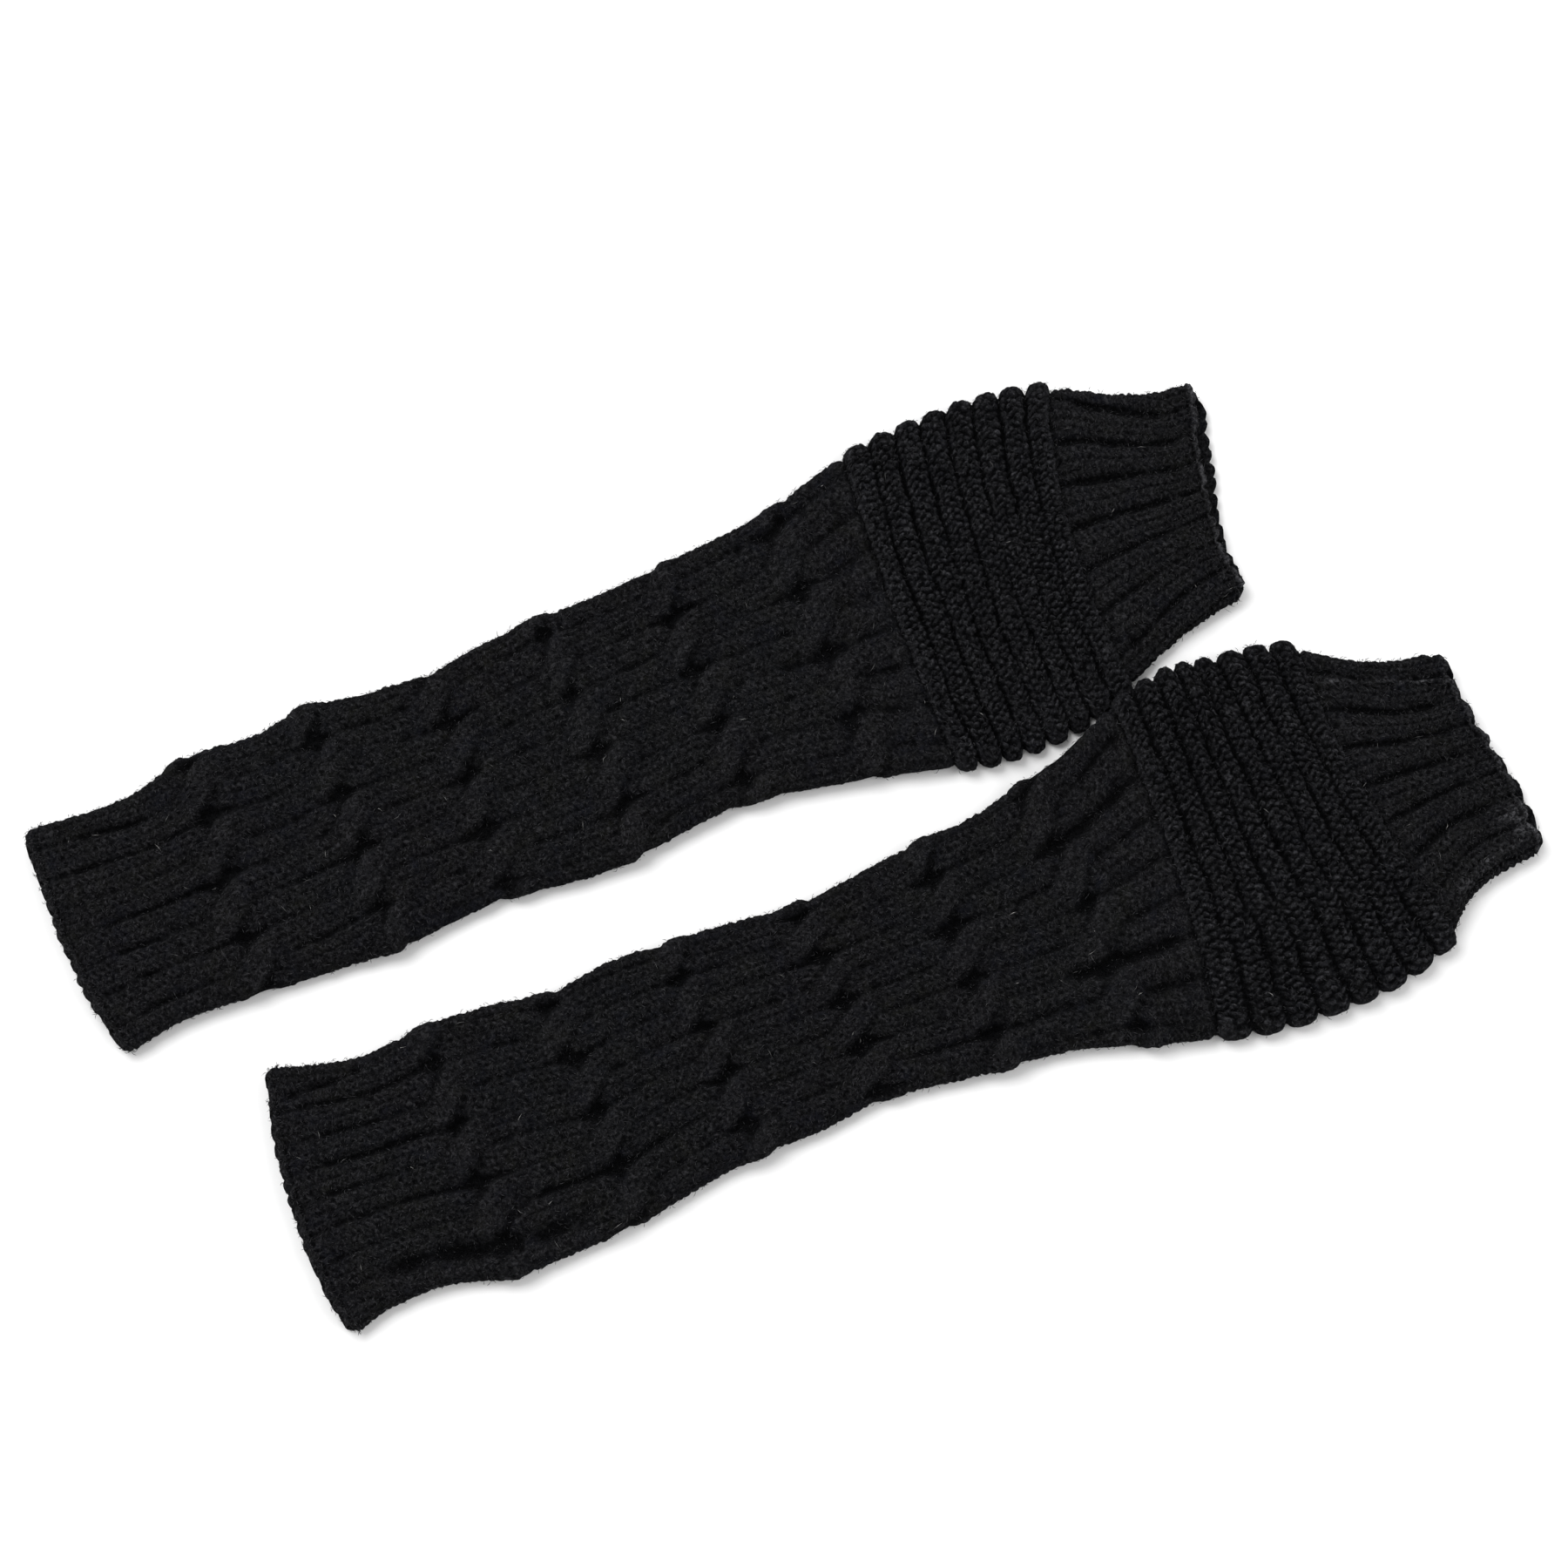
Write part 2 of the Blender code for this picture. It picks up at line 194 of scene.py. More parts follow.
NEAR_GUTTERS = (
    Gutter(-182, -146, 0.72, 0.10, 0.9, 1.3),
    Gutter(-174, -134, 1.0, 1.0, 0.8, 0.6),
    Gutter(-172, -146, 2.0, 2.0, 0.9, 0.7),
    Gutter(-176, -128, 3.0, 3.0, 1.0, 1.0),
    Gutter(-174, -160, 4.0, 4.0, 0.8, 0.7),
    Gutter(-172, -116, 5.0, 5.0, 0.9, 0.8),
    Gutter(-172, -88, 7.0, 7.25, 3.6, 1.2),
    Gutter(-120, -62, 6.0, 6.0, 1.3, 0.9),
    Gutter(-100, -74, 4.0, 4.0, 0.9, 0.6),
    Gutter(-60, -30, 1.0, 1.0, 0.9, 0.6),
    Gutter(-20, 12, 2.0, 2.0, 0.9, 0.6),
    Gutter(6, 64, 7.0, 7.0, 1.3, 0.8),
    Gutter(60, 108, 6.0, 6.0, 2.4, 1.0),
    Gutter(82, 107, 7.0, 7.0, 2.3, 0.50),
    Gutter(84, 108, 5.0, 5.0, 1.4, 0.35),
    Gutter(86, 110, 1.0, 1.0, 1.3, 0.45),
    Gutter(68, 111, 2.0, 2.0, 2.4, 1.0),
    Gutter(94, 110, 3.0, 3.0, 1.1, 0.25),
)
FAR_CUFF_GUTTERS = (
    Gutter(130, 168, 1.0, 1.0, 2.2, 1.0),
    Gutter(120, 178, 2.0, 2.0, 1.8, 1.0),
    Gutter(116, 174, 3.0, 3.0, 1.7, 0.9),
    Gutter(116, 164, 4.0, 4.0, 1.6, 0.8),
    Gutter(118, 158, 5.0, 5.0, 1.5, 0.7),
    Gutter(120, 150, 6.0, 6.0, 1.3, 0.55),
    Gutter(140, 174, 7.0, 7.0, 1.6, 0.8),
)
NEAR_CUFF_GUTTERS = (
    Gutter(172, 216, 2.0, 2.0, 1.8, 0.9),
    Gutter(174, 214, 3.0, 3.0, 1.6, 0.8),
    Gutter(174, 214, 4.0, 4.0, 1.7, 0.85),
    Gutter(178, 210, 5.0, 5.0, 1.5, 0.75),
    Gutter(176, 214, 6.0, 6.0, 1.9, 0.9),
)


# =====================================================================
# Helpers
# =====================================================================
def smooth(low, high, value):
    t = np.clip((value - low) / (high - low), 0.0, 1.0)
    return t * t * (3.0 - 2.0 * t)


def plateau(x, e):
    return smooth(e[0], e[1], x) * (1.0 - smooth(e[2], e[3], x))


def press_far(x, y, z):
    share = plateau(x, PRESS_X) * (1.0 - smooth(PRESS_Y[0], PRESS_Y[1], y))
    return z * (1.0 - (1.0 - PRESS_KEEP) * share)


def lift_near(x, y, z):
    return z + OVER_LIFT * plateau(x, OVER_X) * smooth(OVER_Y[0], OVER_Y[1], y)


class Noise:
    """Smooth value noise on a seeded lattice; x and y in cells."""

    def __init__(self, seed, size=128):
        self.t = np.random.default_rng(seed).random((size, size)) * 2.0 - 1.0
        self.n = size

    def __call__(self, x, y):
        x, y = np.broadcast_arrays(np.asarray(x, float), np.asarray(y, float))
        i, j = np.floor(x).astype(int), np.floor(y).astype(int)
        fx, fy = x - i, y - j
        fx, fy = fx * fx * (3 - 2 * fx), fy * fy * (3 - 2 * fy)
        n = self.n
        a, b = self.t[i % n, j % n], self.t[(i + 1) % n, j % n]
        c, d = self.t[i % n, (j + 1) % n], self.t[(i + 1) % n, (j + 1) % n]
        return (a * (1 - fx) + b * fx) * (1 - fy) + (c * (1 - fx) + d * fx) * fy

    def cell(self, i, j):
        n = self.n
        return self.t[np.asarray(i).astype(int) % n, np.asarray(j).astype(int) % n]


def read_table(rows, position):
    """The sections at positions along a table, on smooth curves through it."""
    a = np.array([r[1:] for r in rows], float)
    last = len(rows) - 1
    position = np.atleast_1d(position)
    i = np.clip(position.astype(int), 0, last - 1)
    t = (position - i)[:, None]
    p1, p2 = a[i], a[i + 1]
    p0, p3 = a[np.maximum(i - 1, 0)], a[np.minimum(i + 2, last)]
    m1 = (p2 - p0) * np.where(i > 0, 0.5, 1.0)[:, None]
    m2 = (p3 - p1) * np.where(i + 2 <= last, 0.5, 1.0)[:, None]
    t2, t3 = t * t, t * t * t
    return ((2 * t3 - 3 * t2 + 1) * p1 + (t3 - 2 * t2 + t) * m1
            + (3 * t2 - 2 * t3) * p2 + (t3 - t2) * m2)


class Lines:
    """Evenly spaced section lines of one stretch, from a table.

    past_start and past_end carry the stretch a little beyond its table, to
    tuck it under a neighbour.
    """

    def __init__(self, rows, step, past_start=0.0, past_end=0.0):
        t = np.linspace(0, len(rows) - 1, 40 * len(rows))
        s = read_table(rows, t)
        mid = self.middle(s)
        d = np.linalg.norm(np.diff(mid, axis=0), axis=1)
        along = np.concatenate([[0.0], np.cumsum(d)])
        self.length = along[-1]
        count = max(int(round((self.length + past_start + past_end) / step)), 4)
        self.along = np.linspace(-past_start, self.length + past_end, count + 1)
        at = np.interp(self.along, along, t)
        s = read_table(rows, at)
        # beyond the table, slide the end sections straight on
        head = s[np.argmax(self.along >= 0)]
        first, last = read_table(rows, [0.0])[0], read_table(rows, [float(len(rows) - 1)])[0]
        for k, a in enumerate(self.along):
            if a < 0:
                s[k] = first
                s[k, 0] += a
                s[k, 2] += a
            elif a > self.length:
                s[k] = last
                s[k, 0] += a - self.length
                s[k, 2] += a - self.length
        self.far, self.near = s[:, 0:2].copy(), s[:, 2:4].copy()
        self.bow, self.top = s[:, 4].copy(), s[:, 5].copy()
        self.centre = self.middle(s)
        self.count = len(self.along)

    @staticmethod
    def middle(s):
        m = (s[:, 0:2] + s[:, 2:4]) / 2
        m[:, 0] += s[:, 4]
        return m


class Tube:
    """A flattened tube over Lines.

    Round the tube the samples run from the far fold over the upper layer to
    the near fold, and back along the lower layer.  around is the distance
    from the far fold, as a share of the way round.
    """

    def __init__(self, lines, upper, fold, lower):
        self.lines = lines
        width = np.linalg.norm(lines.near - lines.far, axis=1)
        mean_w, mean_r = width.mean(), lines.top.mean() / 2
        n_arc = max(int(round(PI * mean_r / fold)), 6)
        n_arc += n_arc % 2
        n_top = max(int(round((mean_w - 2 * mean_r) / upper)), 8)
        n_low = max(int(round((mean_w - 2 * mean_r) / lower)), 4)
        half = n_arc // 2
        self.kind = []          # (part, share)
        for k in range(half):
            self.kind.append((0, k / half))         # far fold, upper quarter
        for k in range(n_top):
            self.kind.append((1, k / n_top))        # upper layer
        for k in range(n_arc):
            self.kind.append((2, k / n_arc))        # near fold
        for k in range(n_low):
            self.kind.append((3, k / n_low))        # lower layer
        for k in range(half):
            self.kind.append((4, k / half))         # far fold, lower quarter
        self.width = width
        self.n = len(self.kind)

    def base(self):
        """Base points (chord distance, z), normals and the way round."""
        part = np.array([k for k, _ in self.kind])[None, :]
        share = np.array([s for _, s in self.kind])[None, :]
        w = self.width[:, None]
        r = (self.lines.top / 2)[:, None]
        flat = w - 2 * r
        angle = np.where(part == 0, PI - share * PI / 2,
                 np.where(part == 2, PI / 2 - share * PI,
                  np.where(part == 4, -PI / 2 - share * PI / 2, 0.0)))
        x = np.where(part == 0, r + r * np.cos(angle),
             np.where(part == 1, r + share * flat,
              np.where(part == 2, w - r + r * np.cos(angle),
               np.where(part == 3, w - r - share * flat,
                        r + r * np.cos(angle)))))
        z = np.where(part == 1, 2 * r,
             np.where(part == 3, 0.0, r + r * np.sin(angle)))
        nx = np.where((part == 1) | (part == 3), 0.0, np.cos(angle))
        nz = np.where(part == 1, 1.0, np.where(part == 3, -1.0, np.sin(angle)))
        q = PI * r / 2
        arc = np.where(part == 0, share * q,
               np.where(part == 1, q + share * flat,
                np.where(part == 2, q + flat + share * 2 * q,
                 np.where(part == 3, 3 * q + flat + share * flat,
                          3 * q + 2 * flat + share * q))))
        total = 2 * flat + 4 * q
        return x, z, nx, nz, arc, np.broadcast_to(total, arc.shape)


def plan(lines, chord, nx=None):
    """World x, y of points a chord distance from the far fold."""
    across = lines.near - lines.far
    width = np.linalg.norm(across, axis=1)
    unit = across / width[:, None]
    share = chord / width[:, None]
    x = lines.far[:, 0:1] + unit[:, 0:1] * chord
    y = lines.far[:, 1:2] + unit[:, 1:2] * chord
    x = x + lines.bow[:, None] * 4.0 * share * (1.0 - share)
    return x, y, share


# =====================================================================
# Relief of the knit, in millimetres above (+) or below (-) the solid's skin
# =====================================================================
class Knit:
    def __init__(self, seed):
        self.a, self.b = Noise(seed), Noise(seed + 1)
        self.c, self.d = Noise(seed + 2), Noise(seed + 3)


def rib_count(turns, x_line, arc, total):
    """Rib coordinate round the tube, and the length of one rib, in mm."""
    x = [t.x for t in turns]
    far = np.interp(x_line, x, [t.far for t in turns])[:, None]
    near = np.interp(x_line, x, [t.near for t in turns])[:, None]
    turn = 2 * PI * arc / total
    extra = near - far - RIBS / 2
    w = far + RIBS * arc / total + extra * (1.0 - np.cos(turn)) / 2
    pitch = total / RIBS / (1.0 + extra * PI / RIBS * np.sin(turn))
    return np.mod(w, RIBS), pitch


def legs_of(phase, across):
    """Legs of knit stitches: phase in rows, across from -1 to 1 in one wale."""
    slant = phase - 0.80 * np.abs(across)
    f = slant - np.floor(slant)
    leg = np.clip(np.sin(PI * f), 0, 1) ** 0.75
    crease = np.exp(-(across / 0.20) ** 2)
    edge = np.clip(1.0 - np.abs(across) ** 6, 0, 1)
    return leg * edge * (1.0 - 0.35 * crease) - 0.30 * crease


def pits_of(phase, p, jitter):
    """Small dark holes between stitches: between the wales, in the middle of
    each wale and along the rib's sides."""
    def at(shift, place, wide):
        f = phase + shift + 0.10 * jitter
        f = f - np.floor(f) - 0.5
        return np.exp(-(f / 0.20) ** 2) * np.exp(-((np.abs(p) - place) / wide) ** 2)
    return (at(0.0, 0.0, 0.13) + 0.55 * at(0.5, 0.5, 0.09) + 0.7 * at(0.3, 0.97, 0.12)) \
        * np.clip(0.75 + 0.75 * jitter, 0.0, 1.5)


def beads(rows, stitches, knit, salt, long=0.43, wide=0.56, slant=0.34):
    """Purl loops as short slanting beads on half-dropped rows.

    Returns their height, and the place across and along each bead's yarn.
    """
    best = np.zeros(np.shape(rows))
    over, on = np.zeros(np.shape(rows)), np.zeros(np.shape(rows))
    base = np.floor(rows)
    for dr in (-1, 0, 1):
        r = base + dr
        drop = 0.5 * np.mod(r, 2)
        s = stitches + drop
        c = np.floor(s)
        j1 = knit.a.cell(r + salt, c)
        j2 = knit.b.cell(r + salt, c)
        j3 = knit.c.cell(r + salt, c)
        dx = s - c - 0.5 + 0.18 * j1
        dy = rows - r - 0.5 + 0.24 * j2
        lean = slant * np.where(np.mod(r, 2) > 0.5, 1.0, -1.0) * (1.0 + 0.8 * j3)
        u = (dx - lean * dy * 0.35) / (long * (1.0 + 0.18 * j2))
        v = (dy + lean * dx * 2.2) / (wide * (1.0 + 0.15 * j1))
        z = np.clip(1.0 - u * u - v * v, 0.0, 1.0) ** 0.6 * (1.0 + 0.45 * j3)
        top = z > best
        best = np.where(top, z, best)
        over = np.where(top, v * 1.0 + 3.1 * j3 + 1.7 * r, over)
        on = np.where(top, u * 1.3 + 5.3 * j1 + 2.3 * c, on)
    return best, over, on


def rib_relief(along, x_line, w, pitch, crossings, gutters, knit, depth=RIB_DEPTH,
               ground_at=GROUND, leg_high=0.62, pit_deep=0.85, felt=1):
    """Relief of two-wale ribs with crossings.

    along: distance along the warmer for each line; x_line: its x; w: rib
    coordinate (line by sample); pitch: millimetres of one rib (line by sample);
    felt: how many samples the form is softened over.
    Returns the relief, how much purl ground shows, the place across and
    along the yarn in millimetres, and where a strand passes in front.
    """
    lines = len(along)
    soft = 0.30
    total_exp = np.zeros(w.shape)
    highest = np.full(w.shape, -1e3)
    stitch, over, on = np.zeros(w.shape), np.zeros(w.shape), np.zeros(w.shape)
    front = np.zeros(w.shape)
    rows_here = along / ROW
    ragged = 0.10 * knit.a(along[:, None] / 1.9, w * pitch / 1.9) \
        + 0.09 * knit.c(along[:, None] / 4.3, w * pitch / 4.3)
    for k in range(RIBS):
        centre = np.full(lines, k + 0.5)
        height = np.zeros(lines)
        slope = np.zeros(lines)
        swell = np.zeros(lines)
        raised = np.zeros(lines)
        for n, c in enumerate(crossings):
            pair = ((k - c.pairs) // 2) % (RIBS // 2)
            place = c.x + 2.4 * knit.c(n * 3.7 + 0.3, pair * 1.9 + 0.2)
            long = CROSS_LONG * (1.0 + 0.20 * knit.d(n * 2.3, pair * 1.3))
            t = (x_line - place) / long + 0.5
            inside = (t > 0) & (t < 1)
            tt = np.clip(t, 0, 1)
            s = tt * tt * (3 - 2 * tt)
            ds = 6 * tt * (1 - tt) / long
            hill = np.sin(PI * tt) ** 2
            if (k - c.pairs) % 2 == 0:            # passes behind, to the near side
                centre = np.where(inside, k + 0.5 + s, centre)
                height = np.where(inside, -CROSS_DOWN * hill, height)
                slope = np.where(inside, ds, slope)
            else:                                 # passes in front, to the far side
                centre = np.where(inside, k + 0.5 - s, centre)
                up = CROSS_UP * (1.0 + 0.3 * knit.b(n * 1.7, k * 2.1))
                height = np.where(inside, up * hill, height)
                slope = np.where(inside, -ds, slope)
                raised = np.where(inside, hill, raised)
            swell = np.where(inside, hill * (0.9 if (k - c.pairs) % 2 == 0 else -0.3), swell)
        # single strands wander and swell a little
        centre = centre + 0.05 * knit.a(rows_here / 6.0 + 11 * k, k * 3.1)
        height = height + 0.16 * knit.b(rows_here / 7.0 + 7 * k, k * 5.3)
        loose = 0.985 + 0.055 * knit.c(rows_here / 8.0 + 5 * k, k * 2.7)
        gap = (w - centre[:, None] + RIBS / 2) % RIBS - RIBS / 2
        tan = slope[:, None] * pitch
        cos = 1.0 / np.sqrt(1.0 + tan * tan)
        half = 0.5 * pitch * loose[:, None] * (1.0 + 0.11 * swell[:, None])
        dist = gap * pitch
        p = dist * cos / half
        q = np.abs(p) + ragged
        live = np.abs(p) < 1.4
        ph = rows_here[:, None] + dist * tan * cos * cos / ROW
        side = (p > 0).astype(int)
        jit = knit.d.cell(np.floor(ph + 0.5 * side) + 31 * k, side + 2 * k + 5)
        wale = np.where(p < 0, p + 0.5, p - 0.5) * 2.0
        z = -depth * (0.30 * q ** 2 + 0.70 * np.clip(q, 0, 2) ** 6) + height[:, None]
        fade = np.clip(1.2 - np.abs(p) ** 3, 0.0, 1.0)
        phase = ph + 0.5 * side + 0.14 * jit
        detail = leg_high * (legs_of(phase, wale) - 0.5) * fade + 0.10 * jit * fade \
            - pit_deep * pits_of(ph, p, jit)
        top = live & (z > highest)
        highest = np.where(top, z, highest)
        stitch = np.where(top, detail, stitch)
        over = np.where(top, (phase - 0.80 * np.abs(wale)) * ROW + 7.3 * k, over)
        on = np.where(top, p * half + 3.7 * k + 1.9 * jit, on)
        front = np.where(top, raised[:, None] * np.clip(1.15 - q * q, 0, 1), front)
        total_exp += np.where(live, np.exp(np.clip(z, -12, 4) / soft), 0.0)
    purl, _, _ = beads(rows_here[:, None] * 2.0 + 0 * w, w * 5.0, knit, 9)
    ground = -ground_at - 0.25 + 0.9 * knit.b(along[:, None] / 5.0, w * pitch / 5.0)
    strands = soft * np.log(total_exp + 1e-30)
    relief = soft * np.logaddexp(strands / soft, ground / soft)
    # gutters that stand open
    for g in gutters:
        t = (x_line - g.x0) / (g.x1 - g.x0)
        rib = g.rib0 + (g.rib1 - g.rib0) * np.clip(t, 0, 1)
        rib = rib + 0.05 * knit.a(x_line / 9.0, g.rib0 * 3.3)
        gap = ((w - rib[:, None] + RIBS / 2) % RIBS - RIBS / 2) * pitch
        window = smooth(0.0, 0.2, t) * (1.0 - smooth(0.8, 1.0, t)) \
            * (1.0 + 0.5 * knit.d(x_line / 5.0, g.rib0 * 2.9))
        open_ = np.exp(-(np.abs(gap) / g.wide) ** 2.4) * np.clip(window, 0, 1.2)[:, None]
        relief = relief + open_ * np.minimum(-ground_at - relief, 0.0) * min(g.deep, 1.0) * 0.7 \
            - 0.30 * g.deep * open_
    relief = wrap_blur(relief, felt, felt, 1)
    shown = np.clip((-0.55 * ground_at - relief) / 1.0, 0.0, 1.0)
    side_on = np.clip((relief + 2.0) / 1.6, 0.25, 1.0)
    relief = relief + stitch * (1.0 - shown) * side_on + 0.6 * (purl - 0.5) * shown
    relief = relief + 0.24 * knit.a(along[:, None] / 0.85, w * pitch / 0.85) \
        + 0.20 * knit.b(along[:, None] / 1.9, w * pitch / 1.7) \
        + 0.12 * knit.c(along[:, None] / 4.1, w * pitch / 4.3)
    return relief, shown, over, on, front * (1.0 - shown)


def welt_relief(share, arc, arc_share, knit, grooves, jog=0.0, calm=0.0):
    """Relief of the hand band's welts.

    share: 0 at the wrist to 1 at the cuff; arc: millimetres round; grooves:
    how wide each groove stands; jog: how far the welts have stepped; calm:
    where they lie shallow.  Also returns the shade beside the grooves.
    """
    turn = share * WELTS - jog
    turn = turn + 0.09 * knit.a(turn * 0.8, arc / 14.0) + 0.06 * knit.b(turn * 2.5, arc / 2.4)
    edge = np.round(turn)                       # the nearest groove
    t = (turn - edge) * 2.0                     # -1 .. 1 about the groove
    open_ = 0.95 + 0.55 * knit.c(edge * 3.3, arc / 17.0) + 0.45 * knit.d(edge * 5.1, arc / 3.0) \
        - 0.55 * calm
    open_ = np.clip(open_, 0.10, 1.45)
    gape = np.interp(edge, np.arange(WELTS + 1), grooves)
    groove = np.exp(-(np.abs(t) / (0.155 * gape * (0.45 + 0.55 * open_))) ** 1.7) * open_
    shade = np.exp(-(np.abs(t) / 0.40) ** 2) * np.clip(gape - 1.0, 0.0, 1.0) \
        * np.clip(0.8 + 1.1 * knit.b(edge * 4.7, arc / 13.0), 0.0, 1.6) \
        * np.clip(1.0 - 0.8 * calm, 0.0, 1.0)
    round_ = 0.42 * np.abs(np.abs(t) - 1.0) ** 2.2       # the welt's own curve
    size = 0.25 * knit.d(np.floor(turn) * 3.3 + 0.5, arc / 22.0)
    loops, over, on = beads(turn * 4.0, arc_share * STITCHES
                            + 0.12 * knit.a(turn * 3.0, arc / 6.0), knit, 3)
    low = np.clip(groove * 1.2, 0, 1)
    relief = 1.15 - round_ * 1.0 * np.clip(open_ + 0.2, 0.3, 1.0) + size \
        + 1.55 * (loops - 0.60) * (1.0 - 0.45 * low) \
        + 0.30 * knit.c(turn * 10.0, arc / 0.8) + 0.22 * knit.a(turn * 4.5, arc / 1.9) \
        - 2.2 * groove * np.clip(1.0 - 0.5 * calm, 0.2, 1.0)
    notch = 0.75 - 2.1 * np.exp(-(np.abs(t) / 0.26) ** 1.8) + 0.35 * (loops - 0.6)
    return relief, notch, over, on, shade


def wrap_blur(field, down, across, times=2):
    """Box blur twice; the columns go round, the rows do not."""
    out = field
    for _ in range(times):
        c = np.concatenate([out[:, -across:], out, out[:, :across]], 1)
        c = np.cumsum(np.concatenate([np.zeros((len(c), 1)), c], 1), 1)
        out = (c[:, 2 * across + 1:] - c[:, :-2 * across - 1]) / (2 * across + 1)
        c = np.concatenate([out[:1].repeat(down, 0), out, out[-1:].repeat(down, 0)])
        c = np.cumsum(np.concatenate([np.zeros((1, c.shape[1])), c]), 0)
        out = (c[2 * down + 1:] - c[:-2 * down - 1]) / (2 * down + 1)
    return out


def light_of(relief, step_down, step_across):
    """Painted shade, by how hidden a place is from the light, and painted highlight, by how far it
    stands out.
    """
    def cells(mm, step):
        return max(int(round(mm / step)), 1)
    small = wrap_blur(relief, cells(1.0, step_down), cells(1.0, step_across))
    broad = wrap_blur(relief, cells(4.0, step_down), cells(4.0, step_across))
    pit = np.clip((small - relief - 0.05) / 0.42, 0.0, 1.0)
    dip = np.clip((broad - relief - 0.45) / 1.6, 0.0, 1.0)
    painted_highlight = np.clip((relief - small) / 0.40, 0.0, 1.0)
    rise = np.clip((relief - broad - 0.15) / 1.0, 0.0, 1.0)
    painted_highlight = np.clip(0.75 * painted_highlight + 0.8 * rise, 0.0, 1.0)
    return np.clip(0.85 * pit + 0.70 * dip, 0.0, 1.0), painted_highlight


# =====================================================================
# Meshes
# =====================================================================
def make_mesh(name, verts, quads, uvs, floats, material):
    """verts (n, 3) in metres; uvs {name: (n, 2)} per vertex or (loops, 2)."""
    mesh = bpy.data.meshes.new(name)
    mesh.vertices.add(len(verts))
    mesh.vertices.foreach_set("co", np.ascontiguousarray(verts, np.float32).ravel())
    mesh.loops.add(quads.size)
    mesh.loops.foreach_set("vertex_index", quads.astype(np.int32).ravel())
    mesh.polygons.add(len(quads))
    mesh.polygons.foreach_set("loop_start",
                              (np.arange(len(quads)) * quads.shape[1]).astype(np.int32))
    mesh.update(calc_edges=True)
    mesh.validate()
    for uv_name, uv in uvs.items():
        layer = mesh.uv_layers.new(name=uv_name)
        values = uv if len(uv) == quads.size else uv[quads.ravel()]
        layer.data.foreach_set("uv", np.ascontiguousarray(values, np.float32).ravel())
    for f_name, f in floats.items():
        attr = mesh.attributes.new(f_name, "FLOAT", "POINT")
        attr.data.foreach_set("value", np.ascontiguousarray(f, np.float32))
    mesh.polygons.foreach_set("use_smooth", np.ones(len(quads), bool))
    mesh.materials.append(material)
    mesh.update()
    obj = bpy.data.objects.new(name, mesh)
    bpy.context.scene.collection.objects.link(obj)
    return obj


def grid_quads(rows, cols, offset=0, flip=False):
    """Quads of a grid closed round its columns."""
    i = np.arange(rows - 1)[:, None]
    j = np.arange(cols)[None, :]
    k = (j + 1) % cols
    a = i * cols + j
    b = i * cols + k
    c = (i + 1) * cols + k
    d = (i + 1) * cols + j
    q = np.stack([a, b, c, d] if flip else [a, d, c, b], -1).reshape(-1, 4)
    return q + offset


